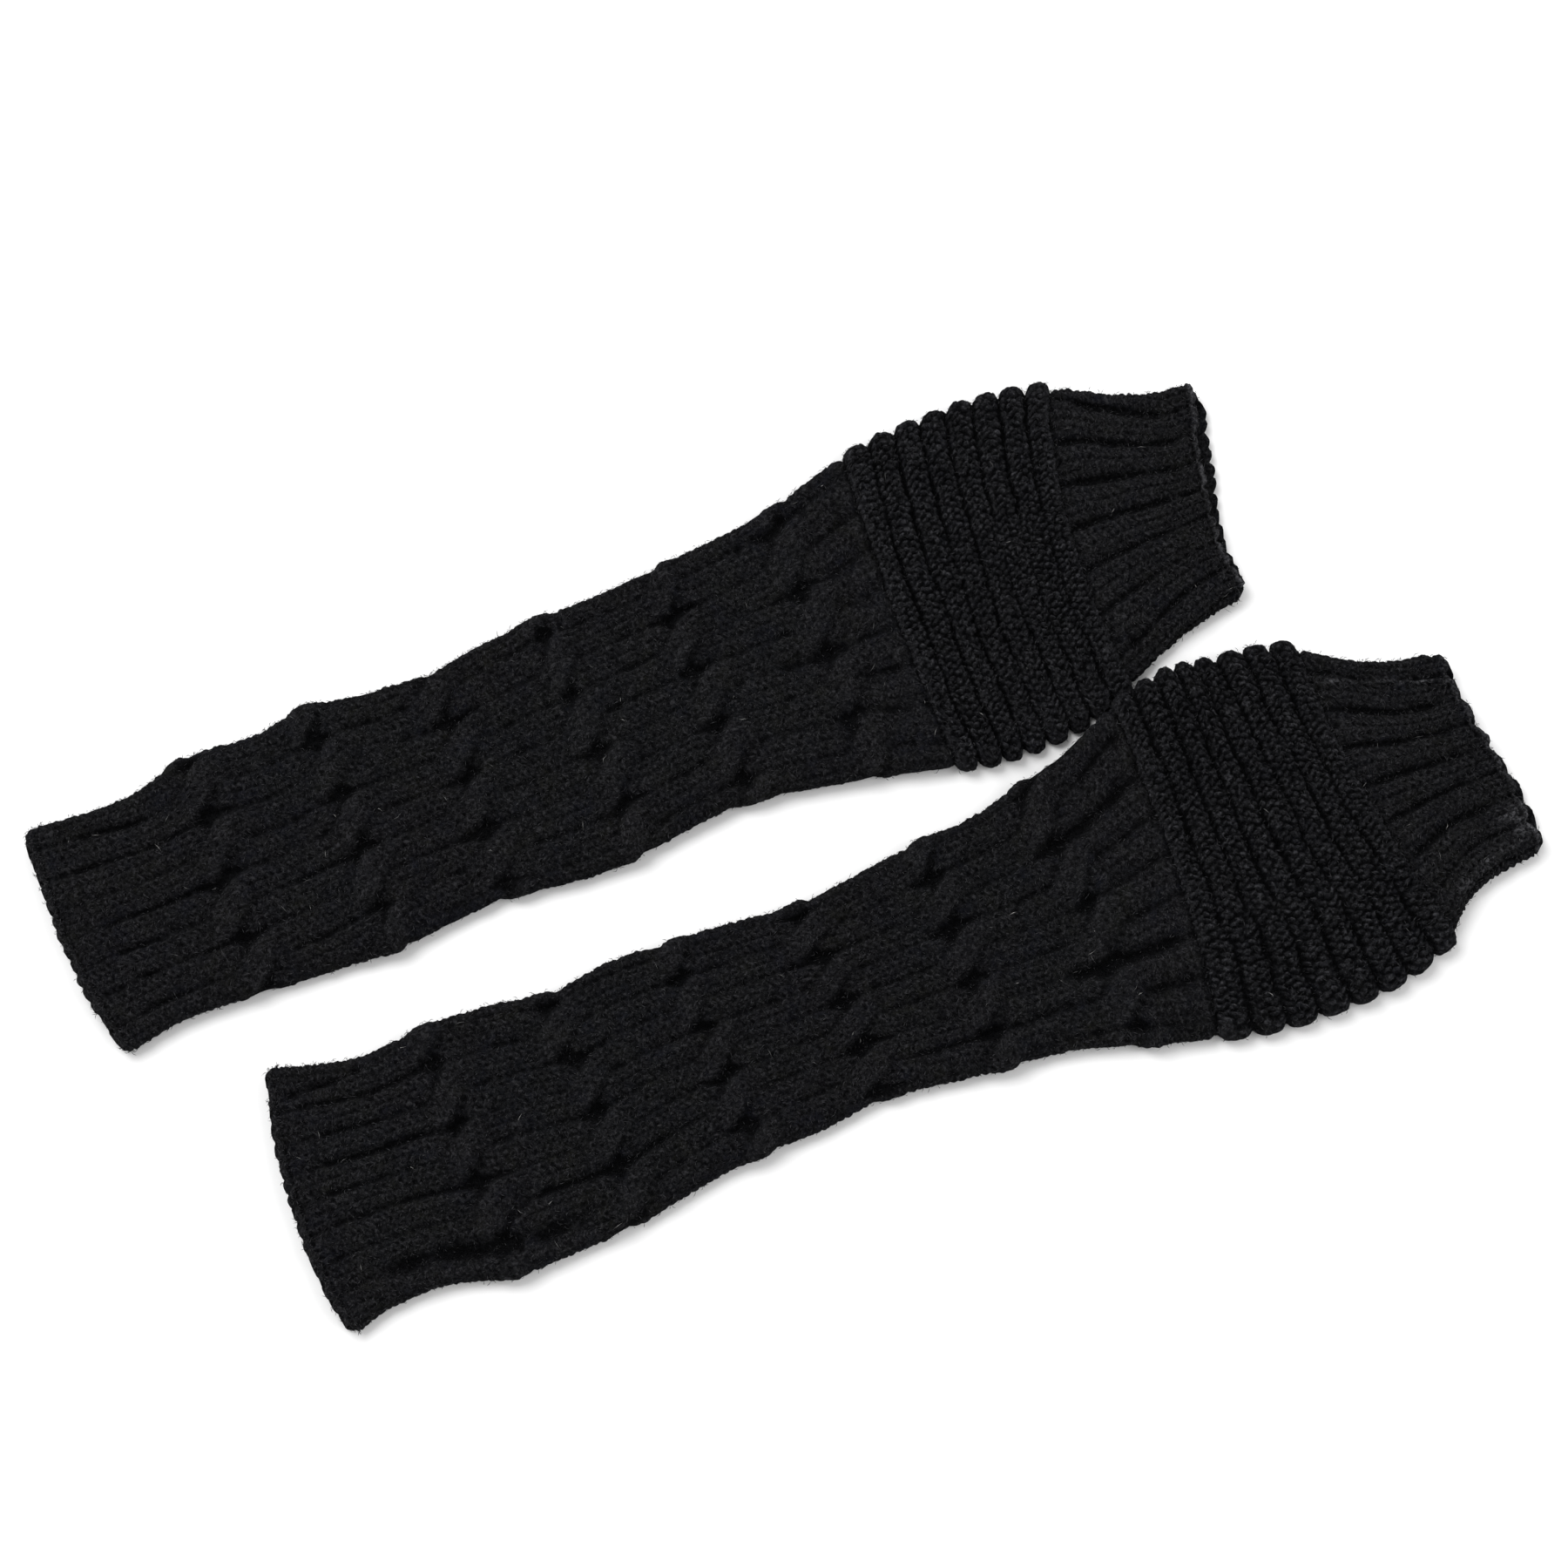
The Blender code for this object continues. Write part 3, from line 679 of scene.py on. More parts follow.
def shell(name, lines, tube, relief, floats, settle, material,
          shift=None, open_start=False, open_end=False, ground_noise=None):
    """A closed thin shell: the knit's outer face, a plain inner face, rims.

    shift moves points along the warmer, open_start and open_end say which
    end is a free edge, where the inner face shows and is knitted too.
    """
    chord, z, nx, nz, arc, total = tube.base()
    under = np.clip(-nz, 0.0, 1.0)
    side = np.abs(nx)
    # the lower layer's crests are pressed flat against the table
    lift = relief * (1.0 - under) + under * np.minimum(relief * 0.8 - 0.1, -0.02)
    c = chord + nx * lift
    zz = z + nz * lift
    x, y, share = plan(lines, c)
    if shift is None:
        shift = np.zeros(arc.shape)
    x = x + shift
    zz = np.maximum(zz, 0.02)
    zz = settle(x, y, zz)
    outer = np.stack([x + CENTRE[0], y + CENTRE[1], zz], -1)

    # inner face: coarse where hidden, fine by an open end
    step = lines.along[1] - lines.along[0]
    fine = max(int(round(1.1 / step)), 1)
    near_end = int(round(13.0 / step))
    rows = set(range(0, lines.count, 24)) | {0, lines.count - 1}
    if open_start:
        rows |= set(range(0, near_end, fine))
    if open_end:
        rows |= set(range(lines.count - 1, lines.count - near_end, -fine))
    pick = np.array(sorted(rows))
    r_in = SLIT / 2
    w = tube.width[:, None]
    ratio = (w - 2 * LOW_WALL) / w
    ci = np.clip(LOW_WALL + chord * ratio, LOW_WALL, w - LOW_WALL)
    face = np.clip(nz * 1.6, -1, 1)
    zi = LOW_WALL + r_in + r_in * face
    if ground_noise is not None:
        rows_in = lines.along[:, None] / ROW * 2.0
        bump, _, _ = beads(rows_in + 0 * arc, arc / total * RIBS * 5.0, ground_noise, 21)
        zi = zi + 0.45 * (bump - 0.8) * np.clip(-face, 0, 1)
    xi, yi, _ = plan(lines, ci)
    xi = xi + shift
    zi = settle(xi, yi, zi)
    inner = np.stack([xi + CENTRE[0], yi + CENTRE[1], zi], -1)[pick]

    n = tube.n
    m = lines.count
    verts = np.concatenate([outer.reshape(-1, 3), inner.reshape(-1, 3)]) * MM
    q1 = grid_quads(m, n)
    q2 = grid_quads(len(pick), n, offset=m * n, flip=True)
    j = np.arange(n)
    k = (j + 1) % n
    rim0 = np.stack([j, k, m * n + k, m * n + j], -1)
    oe = (m - 1) * n
    ie = m * n + (len(pick) - 1) * n
    rim1 = np.stack([oe + k, oe + j, ie + j, ie + k], -1)
    quads = np.concatenate([q1, q2, rim0, rim1])

    # the bake's map: outer face left to right, inner face in a strip beside it
    u_out = (lines.along - lines.along[0]) / (lines.along[-1] - lines.along[0])
    v_out = arc / total

    def corner_uv(rows_, u_of_row, v_grid, low_u, high_u):
        jj = np.arange(n)
        kk = (jj + 1) % n
        v0 = v_grid[:-1][:, jj]
        v1 = np.where(kk == 0, 1.0, v_grid[:-1][:, kk])
        v2 = np.where(kk == 0, 1.0, v_grid[1:][:, kk])
        v3 = v_grid[1:][:, jj]
        ua = (low_u + (high_u - low_u) * u_of_row[:-1])[:, None] + 0 * v0
        ub = (low_u + (high_u - low_u) * u_of_row[1:])[:, None] + 0 * v0
        return ua, ub, v0, v1, v2, v3

    ua, ub, v0, v1, v2, v3 = corner_uv(m, u_out, v_out, 0.002, 0.90)
    uv1 = np.stack([np.stack([ua, v0], -1), np.stack([ub, v3], -1),
                    np.stack([ub, v2], -1), np.stack([ua, v1], -1)], 2).reshape(-1, 2)
    ua, ub, v0, v1, v2, v3 = corner_uv(len(pick), u_out[pick], v_out[pick], 0.91, 0.985)
    uv2 = np.stack([np.stack([ua, v0], -1), np.stack([ua, v1], -1),
                    np.stack([ub, v2], -1), np.stack([ub, v3], -1)], 2).reshape(-1, 2)
    vj, vk = v_out[0][j], np.where(k == 0, 1.0, v_out[0][k])
    lo, hi = np.full(n, 0.987), np.full(n, 0.992)
    uv3 = np.stack([np.stack([lo, vj], -1), np.stack([lo, vk], -1),
                    np.stack([hi, vk], -1), np.stack([hi, vj], -1)], 1).reshape(-1, 2)
    lo, hi = lo + 0.0065, hi + 0.0065
    uv4 = np.stack([np.stack([lo, vk], -1), np.stack([lo, vj], -1),
                    np.stack([hi, vj], -1), np.stack([hi, vk], -1)], 1).reshape(-1, 2)
    bake = np.concatenate([uv1, uv2, uv3, uv4])
    bake[:, 1] = 0.002 + 0.996 * bake[:, 1]

    pad = np.full(inner.shape[0] * inner.shape[1], 0.0)
    values = {}
    for key, value in floats.items():
        if key in ("over", "on"):
            inside = (arc if key == "on" else lines.along[:, None] + 0 * arc)[pick].ravel()
        else:
            # the inner face gets an even painted shade and an even painted highlight
            inside = pad + (0.08 if key == "hollow" else 0.15 if key == "painted_highlight" else 0.0)
        values[key] = np.concatenate([value.ravel(), inside])
    return make_mesh(name, verts, quads, {"OFBake": bake}, values, material), outer


# =====================================================================
# Loose fibres: short closed spikes that stand a little off the knit
# =====================================================================
def fibre_mesh(name, grids, count, seed, material, long=(1.0, 2.8), thick=0.11,
               lift=(0.15, 0.75), shade=(0.0, 1.0), edge_share=0.0):
    rng = np.random.default_rng(seed)
    sizes = [g.shape[0] * g.shape[1] for g in grids]
    roots, normals = [], []
    share = np.array(sizes, float) / sum(sizes)
    for g, s in zip(grids, share):
        n = int(round(count * s))
        m, c = g.shape[:2]
        i = rng.integers(1, m - 1, n)
        j = rng.integers(0, c, n)
        if edge_share:
            at_edge = rng.random(n) < edge_share
            i = np.where(at_edge, rng.integers(1, 5, n), i)
        a = g[i, j]
        du = g[i + 1, j] - g[i - 1, j]
        dv = g[i, (j + 1) % c] - g[i, (j - 1) % c]
        nn = np.cross(dv, du)
        nn /= np.maximum(np.linalg.norm(nn, axis=1), 1e-9)[:, None]
        keep = (a[:, 2] > 1.6) & (nn[:, 2] > -0.1)
        roots.append(a[keep])
        normals.append(nn[keep])
    root, normal = np.concatenate(roots), np.concatenate(normals)
    n = len(root)
    way = rng.normal(size=(n, 3))
    way -= normal * (way * normal).sum(1)[:, None]
    way /= np.linalg.norm(way, axis=1)[:, None]
    bend = np.cross(normal, way)
    length = rng.uniform(long[0], long[1], n)[:, None]
    rise = rng.uniform(lift[0], lift[1], n)[:, None]
    curl = rng.normal(size=n)[:, None] * 0.35
    p0 = root - normal * 0.12
    p1 = root + way * length * 0.5 + bend * curl * length * 0.25 + normal * rise
    p2 = root + way * length * 0.92 + bend * curl * length * 0.8 \
        + normal * rise * rng.uniform(0.3, 1.5, n)[:, None]
    for p in (p0, p1, p2):
        p[:, 2] = np.maximum(p[:, 2], 0.15)
    verts = np.zeros((n, 5, 3))
    verts[:, 0], verts[:, 4] = p0, p2
    for q in range(3):
        angle = 2 * PI * q / 3
        verts[:, 1 + q] = p1 + (normal * math.cos(angle) + bend * math.sin(angle)) * thick
    faces = []
    for q in range(3):
        r = (q + 1) % 3
        faces += [(0, 1 + r, 1 + q), (4, 1 + q, 1 + r)]
    faces = np.array(faces)
    tris = (faces[None] + 5 * np.arange(n)[:, None, None]).reshape(-1, 3)
    side = int(math.ceil(math.sqrt(n)))
    cell = 1.0 / side
    u0 = (np.arange(n) % side) * cell
    v0 = (np.arange(n) // side) * cell
    corner = np.array([(0.5, 0.15), (0.2, 0.45), (0.8, 0.45), (0.5, 0.55), (0.5, 0.85)])
    uv = np.stack([u0[:, None] + cell * corner[:, 0], v0[:, None] + cell * corner[:, 1]],
                  -1).reshape(-1, 2)
    tone = np.repeat(rng.uniform(shade[0], shade[1], n) ** 2.2, 5)
    obj = make_mesh(name, verts.reshape(-1, 3) * MM, tris, {"OFBake": uv},
                    {"tone": tone}, material)
    return obj


# =====================================================================
# Materials
# =====================================================================
class Graph:
    def __init__(self, name):
        self.material = bpy.data.materials.new(name)
        self.material.use_nodes = True
        self.tree = self.material.node_tree
        self.shader = self.tree.nodes["Principled BSDF"]
        coords = self.tree.nodes.new("ShaderNodeTexCoord")
        self.object = coords.outputs["Object"]

    def link(self, a, b):
        self.tree.links.new(a, b)

    def noise(self, scale, detail=2.0, rough=0.5, distortion=0.0, vector=None):
        n = self.tree.nodes.new("ShaderNodeTexNoise")
        n.inputs["Scale"].default_value = scale
        n.inputs["Detail"].default_value = detail
        n.inputs["Roughness"].default_value = rough
        n.inputs["Distortion"].default_value = distortion
        self.link(vector or self.object, n.inputs["Vector"])
        return n.outputs["Fac"]

    def math(self, op, a, b=None, c=None, clamp=False):
        n = self.tree.nodes.new("ShaderNodeMath")
        n.operation = op
        n.use_clamp = clamp
        for i, v in enumerate((a, b, c)):
            if isinstance(v, (int, float)):
                n.inputs[i].default_value = v
            elif v is not None:
                self.link(v, n.inputs[i])
        return n.outputs[0]

    def span(self, v, a, b, c=0.0, d=1.0):
        n = self.tree.nodes.new("ShaderNodeMapRange")
        self.link(v, n.inputs["Value"])
        for key, value in (("From Min", a), ("From Max", b), ("To Min", c), ("To Max", d)):
            n.inputs[key].default_value = value
        return n.outputs["Result"]

    def mix(self, fac, a, b):
        n = self.tree.nodes.new("ShaderNodeMix")
        n.data_type = "RGBA"
        self.link(fac, n.inputs["Factor"])
        for socket, v in ((n.inputs[6], a), (n.inputs[7], b)):
            if isinstance(v, tuple):
                socket.default_value = (*v, 1.0)
            else:
                self.link(v, socket)
        return n.outputs[2]

    def attribute(self, name):
        n = self.tree.nodes.new("ShaderNodeAttribute")
        n.attribute_name = name
        return n.outputs["Fac"]

    def strands(self, scale, distortion, width):
        """Thin curly lines, as fibres lie on the yarn."""
        n = self.noise(scale, 1.5, 0.5, distortion)
        ridge = self.math("ABSOLUTE", self.math("SUBTRACT", n, 0.5))
        return self.math("SUBTRACT", 1.0, self.span(ridge, 0.0, width), clamp=True)


def knit_material(name, dark, mid, light, bump_mm, highlight_share):
    """Matt black yarn: fibres that run along it, curls, painted shade in the hollows and painted
    highlight on the crests.
    """
    dark, mid, light = (tuple(v * 0.89 for v in c) for c in (dark, mid, light))
    g = Graph(name)
    s = g.shader.inputs
    s["Metallic"].default_value = 0.0
    s["Specular IOR Level"].default_value = 0.014
    s["Sheen Weight"].default_value = 0.015
    s["Sheen Roughness"].default_value = 0.5
    s["Sheen Tint"].default_value = (0.82, 0.84, 0.92, 1.0)

    # fibres along the yarn, 0.6 mm wide and 2 mm long
    place = g.tree.nodes.new("ShaderNodeCombineXYZ")
    g.link(g.math("MULTIPLY", g.attribute("over"), 1.25), place.inputs["X"])
    g.link(g.math("MULTIPLY", g.attribute("on"), 0.45), place.inputs["Y"])
    streak = g.span(g.noise(1.0, 2.0, 0.6, 0.25, place.outputs["Vector"]), 0.47, 0.58)
    curl = g.strands(560.0, 1.4, 0.060)          # curled fibres of the nap
    thin = g.strands(800.0, 1.0, 0.075)
    tuft = g.noise(620.0, 2.0, 0.55, 0.3)
    grain = g.noise(1050.0, 1.5, 0.6, 0.5)
    patch = g.noise(85.0, 3.0, 0.55)
    heather = g.noise(240.0, 2.0, 0.5)
    hollow = g.attribute("hollow")
    painted_highlight = g.attribute("painted_highlight")
    edge = g.attribute("edge")

    # light fibre flecks along the yarn, painted as the glint of single fibres
    fibres = g.math("MAXIMUM", g.math("MULTIPLY", curl, 0.9), g.math("MULTIPLY", thin, 0.7))
    fibres = g.math("MAXIMUM", fibres, g.math("MULTIPLY", streak, 0.8))
    broken = g.span(grain, 0.42, 0.58, 0.0, 1.25)
    fleck = g.math("MULTIPLY", fibres, broken)
    fleck = g.math("MULTIPLY", fleck, g.span(patch, 0.3, 0.7, 0.80, 1.10))
    fleck = g.math("MULTIPLY", fleck, g.span(tuft, 0.36, 0.64, 0.45, 1.45))
    # painted highlight: fibres and colour lighter on the crests and on the strand in front
    fleck = g.math("MULTIPLY", fleck, g.span(painted_highlight, 0.0, 1.0, 0.66, 1.22))
    fleck = g.math("ADD", fleck, g.math("MULTIPLY", painted_highlight, highlight_share), clamp=True)
    body = g.mix(g.span(g.math("ADD", g.math("MULTIPLY", tuft, 0.6), grain), 0.68, 0.95),
                 dark, mid)
    tinted = g.mix(g.span(heather, 0.40, 0.62), body, g.mix(
        g.span(patch, 0.35, 0.65), (mid[0] * 0.78, mid[1] * 0.88, mid[2] * 1.25),
        (mid[0] * 1.10, mid[1] * 1.12, mid[2] * 0.74)))
    tinted = g.mix(g.span(grain, 0.36, 0.52, 0.75, 0.0), tinted, dark)
    lit = g.mix(fleck, tinted, light)
    # painted highlight along the finger edge, together with the pale line and patch along the near
    # cuff
    lit = g.mix(g.math("MULTIPLY", edge, g.span(grain, 0.42, 0.60, 0.15, 1.0), clamp=True),
                lit, (0.13, 0.13, 0.14))
    # painted shade: the colour goes to near black in hollows, dimples and grooves
    deep = g.mix(g.math("MULTIPLY", hollow, 0.92, clamp=True), lit,
                 tuple(v * 0.22 for v in dark))
    g.link(deep, s["Base Color"])
    g.link(g.math("ADD", g.math("MULTIPLY", tuft, 0.12), 0.80, clamp=True), s["Roughness"])

    height = g.math("ADD", g.math("MULTIPLY", fibres, 0.75),
                    g.math("ADD", g.math("MULTIPLY", tuft, 1.0), g.math("MULTIPLY", grain, 0.8)))
    bump = g.tree.nodes.new("ShaderNodeBump")
    bump.inputs["Strength"].default_value = 1.0
    bump.inputs["Distance"].default_value = bump_mm * MM
    g.link(height, bump.inputs["Height"])
    g.link(bump.outputs["Normal"], s["Normal"])
    return g.material


def fibre_material(name, dark, light):
    g = Graph(name)
    s = g.shader.inputs
    s["Specular IOR Level"].default_value = 0.25
    tone = g.attribute("tone")
    grain = g.noise(900.0, 2.0, 0.5)
    g.link(g.mix(g.math("MULTIPLY", tone, g.span(grain, 0.3, 0.7, 0.7, 1.0), clamp=True),
                 dark, light), s["Base Color"])
    g.link(g.span(grain, 0.2, 0.8, 0.6, 0.8), s["Roughness"])
    bump = g.tree.nodes.new("ShaderNodeBump")
    bump.inputs["Strength"].default_value = 0.3
    bump.inputs["Distance"].default_value = 0.02 * MM
    g.link(grain, bump.inputs["Height"])
    g.link(bump.outputs["Normal"], s["Normal"])
    return g.material


MAT_ARM = knit_material("cable_knit_yarn", (0.0022, 0.0022, 0.0026), (0.0100, 0.0099, 0.0110),
                        (0.0290, 0.0288, 0.0313), 0.80, 0.18)
MAT_BAND = knit_material("welt_knit_yarn", (0.0009, 0.0009, 0.0012), (0.0074, 0.0074, 0.0087),
                         (0.0450, 0.0450, 0.0497), 0.95, 0.28)
MAT_CUFF = knit_material("rib_knit_yarn", (0.0020, 0.0020, 0.0024), (0.0094, 0.0093, 0.0104),
                         (0.0300, 0.0298, 0.0324), 0.80, 0.19)
MAT_FUZZ = fibre_material("loose_fibre", (0.006, 0.006, 0.007), (0.060, 0.060, 0.065))
MAT_LINT = fibre_material("pale_fibre", (0.12, 0.12, 0.12), (0.55, 0.54, 0.52))


# =====================================================================
# The three stretches
# =====================================================================
def free_edge(lines, w, at_end, knit, bow, across, turned, bite=1.25, pale=0.0, teeth=0.0):
    """A cast-on or cast-off edge: scallops, a beaded rim, a crease behind it.

    teeth: how far the scallops go by whole ribs and not by single wales.
    """
    d = lines.length - lines.along if at_end else lines.along
    d = d[:, None] + 0 * w
    sign = -1.0 if at_end else 1.0
    wave = np.abs(np.sin(2 * PI * w)) ** 0.8
    lean = np.mod(w, 1.0)
    tooth = np.sin(PI * np.clip(lean, 0, 1) ** 1.35) ** 0.7
    wave = (1.0 - teeth) * wave + teeth * 1.25 * tooth
    uneven = knit.a(w * 1.3, 3.0) * 0.8
    turned = np.abs(turned)
    near = 1.0 - smooth(0.0, 3.4, d)
    shift = sign * (bite * (0.55 - wave) + uneven) * near
    shift = shift + np.interp(across, bow[0], bow[1]) * (1.0 - smooth(0.0, 18.0, d))
    shift = shift + sign * 2.2 * turned ** 3 * (1.0 - smooth(0.0, 5.0, d))
    bead = 0.5 + 0.5 * np.cos(2 * PI * (w * 4.0))
    rim = np.exp(-((d - 1.1) / 0.95) ** 2) * (0.25 + 0.55 * bead)
    crease = np.exp(-((d - 2.7) / 0.55) ** 2) * 0.55
    roll = -1.5 * (1.0 - smooth(0.0, 1.0, d)) - 1.3 * turned * (1.0 - smooth(0.0, 3.0, d))
    rim = rim * (1.0 - 0.8 * turned)
    # painted highlight: a pale line along the rim, where the loose fuzz is lit from behind
    edge = pale * np.exp(-((d - 0.9) / 0.9) ** 2)
    return shift, rim - crease + roll, edge


def build_arm(side, rows, crossings, turns, gutters, settle, seed, bow):
    knit = Knit(seed)
    lines = Lines(rows, 0.58, past_end=1.6)
    tube = Tube(lines, 0.70, 0.90, 1.75)
    chord, z, nx, nz, arc, total = tube.base()
    x_line = lines.centre[:, 0]
    w, pitch = rib_count(turns, x_line, arc, total)
    relief, shown, over, on, front = rib_relief(lines.along, x_line, w, pitch, crossings,
                                                gutters, knit)
    # the ribs stand rounder where the band gathers them
    gathered = smooth(lines.length - 46.0, lines.length - 14.0, lines.along)[:, None]
    bulge = 0.30 + 0.22 * knit.b(w * 0.8, lines.along[:, None] / 24.0)
    relief = relief - bulge * gathered * np.cos(2 * PI * w) * (1.0 - 0.6 * front)
    # gathers and dimples lose themselves in the folds
    relief = np.where(relief < -0.4, -0.4 + (relief + 0.4) * (1.0 - 0.72 * np.abs(nx)), relief)
    relief = np.where(relief > 0.6, 0.6 + (relief - 0.6) * (1.0 - 0.40 * np.abs(nx)), relief)
    # slack waves of the whole cloth
    relief = relief + 0.35 * knit.a(lines.along[:, None] / 26.0, w * 0.35)
    # the last rows sink under the first welt
    sink = smooth(lines.length - 2.5, lines.length + 1.6, lines.along)[:, None]
    relief = relief * (1 - 0.4 * sink) - 1.4 * sink
    shift, rim, edge = free_edge(lines, w, False, knit, bow, chord / tube.width[:, None], nx)
    relief = relief + rim
    # painted shade in hollows and dimples and where the last rows sink under the first welt; painted
    # highlight on crests and on the strand in front
    hollow, painted_highlight = light_of(relief, 0.58, 0.80)
    # the light fails already a little way before a dimple
    halo = wrap_blur(shown, 3, 2) * np.clip(1.0 + 0.7 * knit.b(
        lines.along[:, None] / 1.6, arc / 1.6), 0.3, 1.8)
    hollow = hollow + 0.45 * shown + 0.75 * halo
    floats = {"hollow": np.clip(hollow + 0.7 * sink ** 2, 0, 1), "edge": edge,
              "painted_highlight": np.clip(painted_highlight + 0.42 * front, 0, 1), "over": over, "on": on}
    obj, outer = shell(side + "_arm_knit", lines, tube, relief, floats, settle,
                       MAT_ARM, shift=shift, open_start=True, ground_noise=knit)
    return obj, lines, tube, outer


def build_band(side, rows, settle, seed, calms, grooves, jog_line=None):
    knit = Knit(seed)
    lines = Lines(rows, 0.46)
    share = lines.along / lines.length
    # the solid's scallops at the folds, which follow the welts
    across = lines.near - lines.far
    across /= np.linalg.norm(across, axis=1)[:, None]
    for line, sign, step in ((lines.far, -1.0, 0.0), (lines.near, 1.0, JOG if jog_line else 0.0)):
        rise = np.abs(np.sin(PI * (WELTS * share - step))) ** 0.45
        deep = 1.45 if step else 2.0
        line += sign * across * (SCALLOP * (deep * (rise - 1.0) + 0.75))[:, None]
    tube = Tube(lines, 0.47, 0.62, 1.05)
    chord, z, nx, nz, arc, total = tube.base()
    s = np.broadcast_to(share[:, None], arc.shape)
    jog = 0.0
    calm = np.zeros(arc.shape)
    place = chord / tube.width[:, None]
    for c in calms:
        spot = ((s - c.share) / c.long) ** 2 + ((place - c.across) / c.wide) ** 2
        calm = calm + c.amount * np.exp(-spot ** 1.5) * (nz > -0.2)
    if jog_line:
        at = np.interp(share, [0, 1], jog_line)[:, None] + 0.5 * knit.a(share * 9.0, 2.0)[:, None]
        past = smooth(-1.2, 1.6, arc - at) * (1.0 - smooth(at + 30.0, at + 60.0, arc))
        jog = JOG * past
        calm = np.maximum(calm, 0.85 * np.exp(-((arc - at) / 4.4) ** 2))
    relief, notch, over, on, shade = welt_relief(s, arc, arc / total, knit, grooves, jog, calm)
    if jog_line:
        relief = relief - 0.4 * np.exp(-((arc - at) / 0.7) ** 2)
        notch = notch + past * (0.10 - 0.38 * notch)
    # round a fold the welts are plainer, with notches between them
    bend = np.abs(nx) ** 1.5
    relief = relief * (1.0 - bend) + notch * bend
    ends = np.minimum(lines.along, lines.length - lines.along)[:, None]
    relief = relief - 2.4 * (1.0 - smooth(-0.2, 1.7, ends)) ** 2
    # painted shade in the hollows and beside the grooves; painted highlight on the crests
    hollow, painted_highlight = light_of(relief, 0.46, 0.55)
    floats = {"hollow": np.clip(hollow * 1.15 + 0.85 * shade, 0, 1), "edge": np.zeros(arc.shape),
              "painted_highlight": painted_highlight, "over": over, "on": on}
    obj, outer = shell(side + "_band_knit", lines, tube, relief, floats, settle, MAT_BAND)
    return obj, lines, tube, outer


def build_cuff(side, rows, turns, gutters, settle, seed, recess, pale, bow, teeth, marks):
    knit = Knit(seed)
    lines = Lines(rows, 0.46, past_start=2.2)
    tube = Tube(lines, 0.50, 0.66, 1.1)
    chord, z, nx, nz, arc, total = tube.base()
    x_line = lines.centre[:, 0]
    w, pitch = rib_count(turns, x_line, arc, total)
    relief, shown, over, on, _ = rib_relief(lines.along + 300.0, x_line, w, pitch, (), gutters,
                                            knit, depth=1.7, ground_at=3.0,
                                            leg_high=0.80, pit_deep=0.90)
    relief = relief + 0.25 * knit.a(lines.along[:, None] / 20.0, w * 0.4)
    gathered = 1.0 - smooth(0.2, 0.8, lines.along / lines.length)[:, None]
    relief = relief - 0.16 * gathered * np.cos(2 * PI * w)
    sink = (1.0 - smooth(-2.2, 2.6, lines.along))[:, None]
    relief = relief * (1 - 0.3 * sink) - 1.0 * sink
    # the upper layer ends a little short of the lower one
    back = np.interp(chord / tube.width[:, None], recess[0], recess[1])
    near_end = smooth(lines.length - 20.0, lines.length, lines.along)[:, None]
    pull = -back * near_end * smooth(-0.3, 0.6, nz)
    shift, rim, edge = free_edge(lines, w, True, knit, bow, chord / tube.width[:, None],
                                 nx, bite=1.7, pale=pale, teeth=teeth)
    edge = edge * np.clip(0.75 + 0.9 * knit.b(w * 1.1, lines.along[:, None] / 9.0), 0.0, 1.2)
    relief = relief + rim
    # a line of loops that lies turned up along the cuff, and a pale patch
    upper = nz > 0.1
    for m in marks:
        t = np.clip(lines.along / lines.length, 0, 1)
        at = m.start * (1 - t) * (1 - 2 * t) + 4 * m.middle * t * (1 - t) \
            + m.end * t * (2 * t - 1) + 0.4 * knit.c(lines.along / 7.0, m.start)
        off = (chord - at[:, None]) / m.wide
        along = lines.along[:, None] / lines.length
        line = np.exp(-off ** 2) * smooth(m.low - 0.05, m.low + 0.15, along) * upper
        loops = 0.5 + 0.5 * np.sin(2 * PI * lines.along[:, None] / 1.9)
        broken = np.clip(0.70 + 1.1 * knit.d(lines.along[:, None] / 2.6, chord / 1.3), 0.0, 1.4)
        relief = relief + m.high * line * (0.75 + 0.45 * loops)
        edge = edge + m.pale * line * broken
    edge = np.clip(edge, 0.0, 1.0)
    # painted shade in the hollows, on the purl ground and where the first rows sink under the band;
    # painted highlight on the crests
    hollow, painted_highlight = light_of(relief, 0.46, 0.58)
    floats = {"hollow": np.clip(hollow * 0.95 + 0.28 * shown + 0.6 * sink ** 2, 0, 1),
              "edge": edge, "painted_highlight": painted_highlight, "over": over, "on": on}
    obj, outer = shell(side + "_cuff_knit", lines, tube, relief, floats, settle,
                       MAT_CUFF, shift=shift + pull, open_end=True, ground_noise=knit)
    return obj, lines, tube, outer


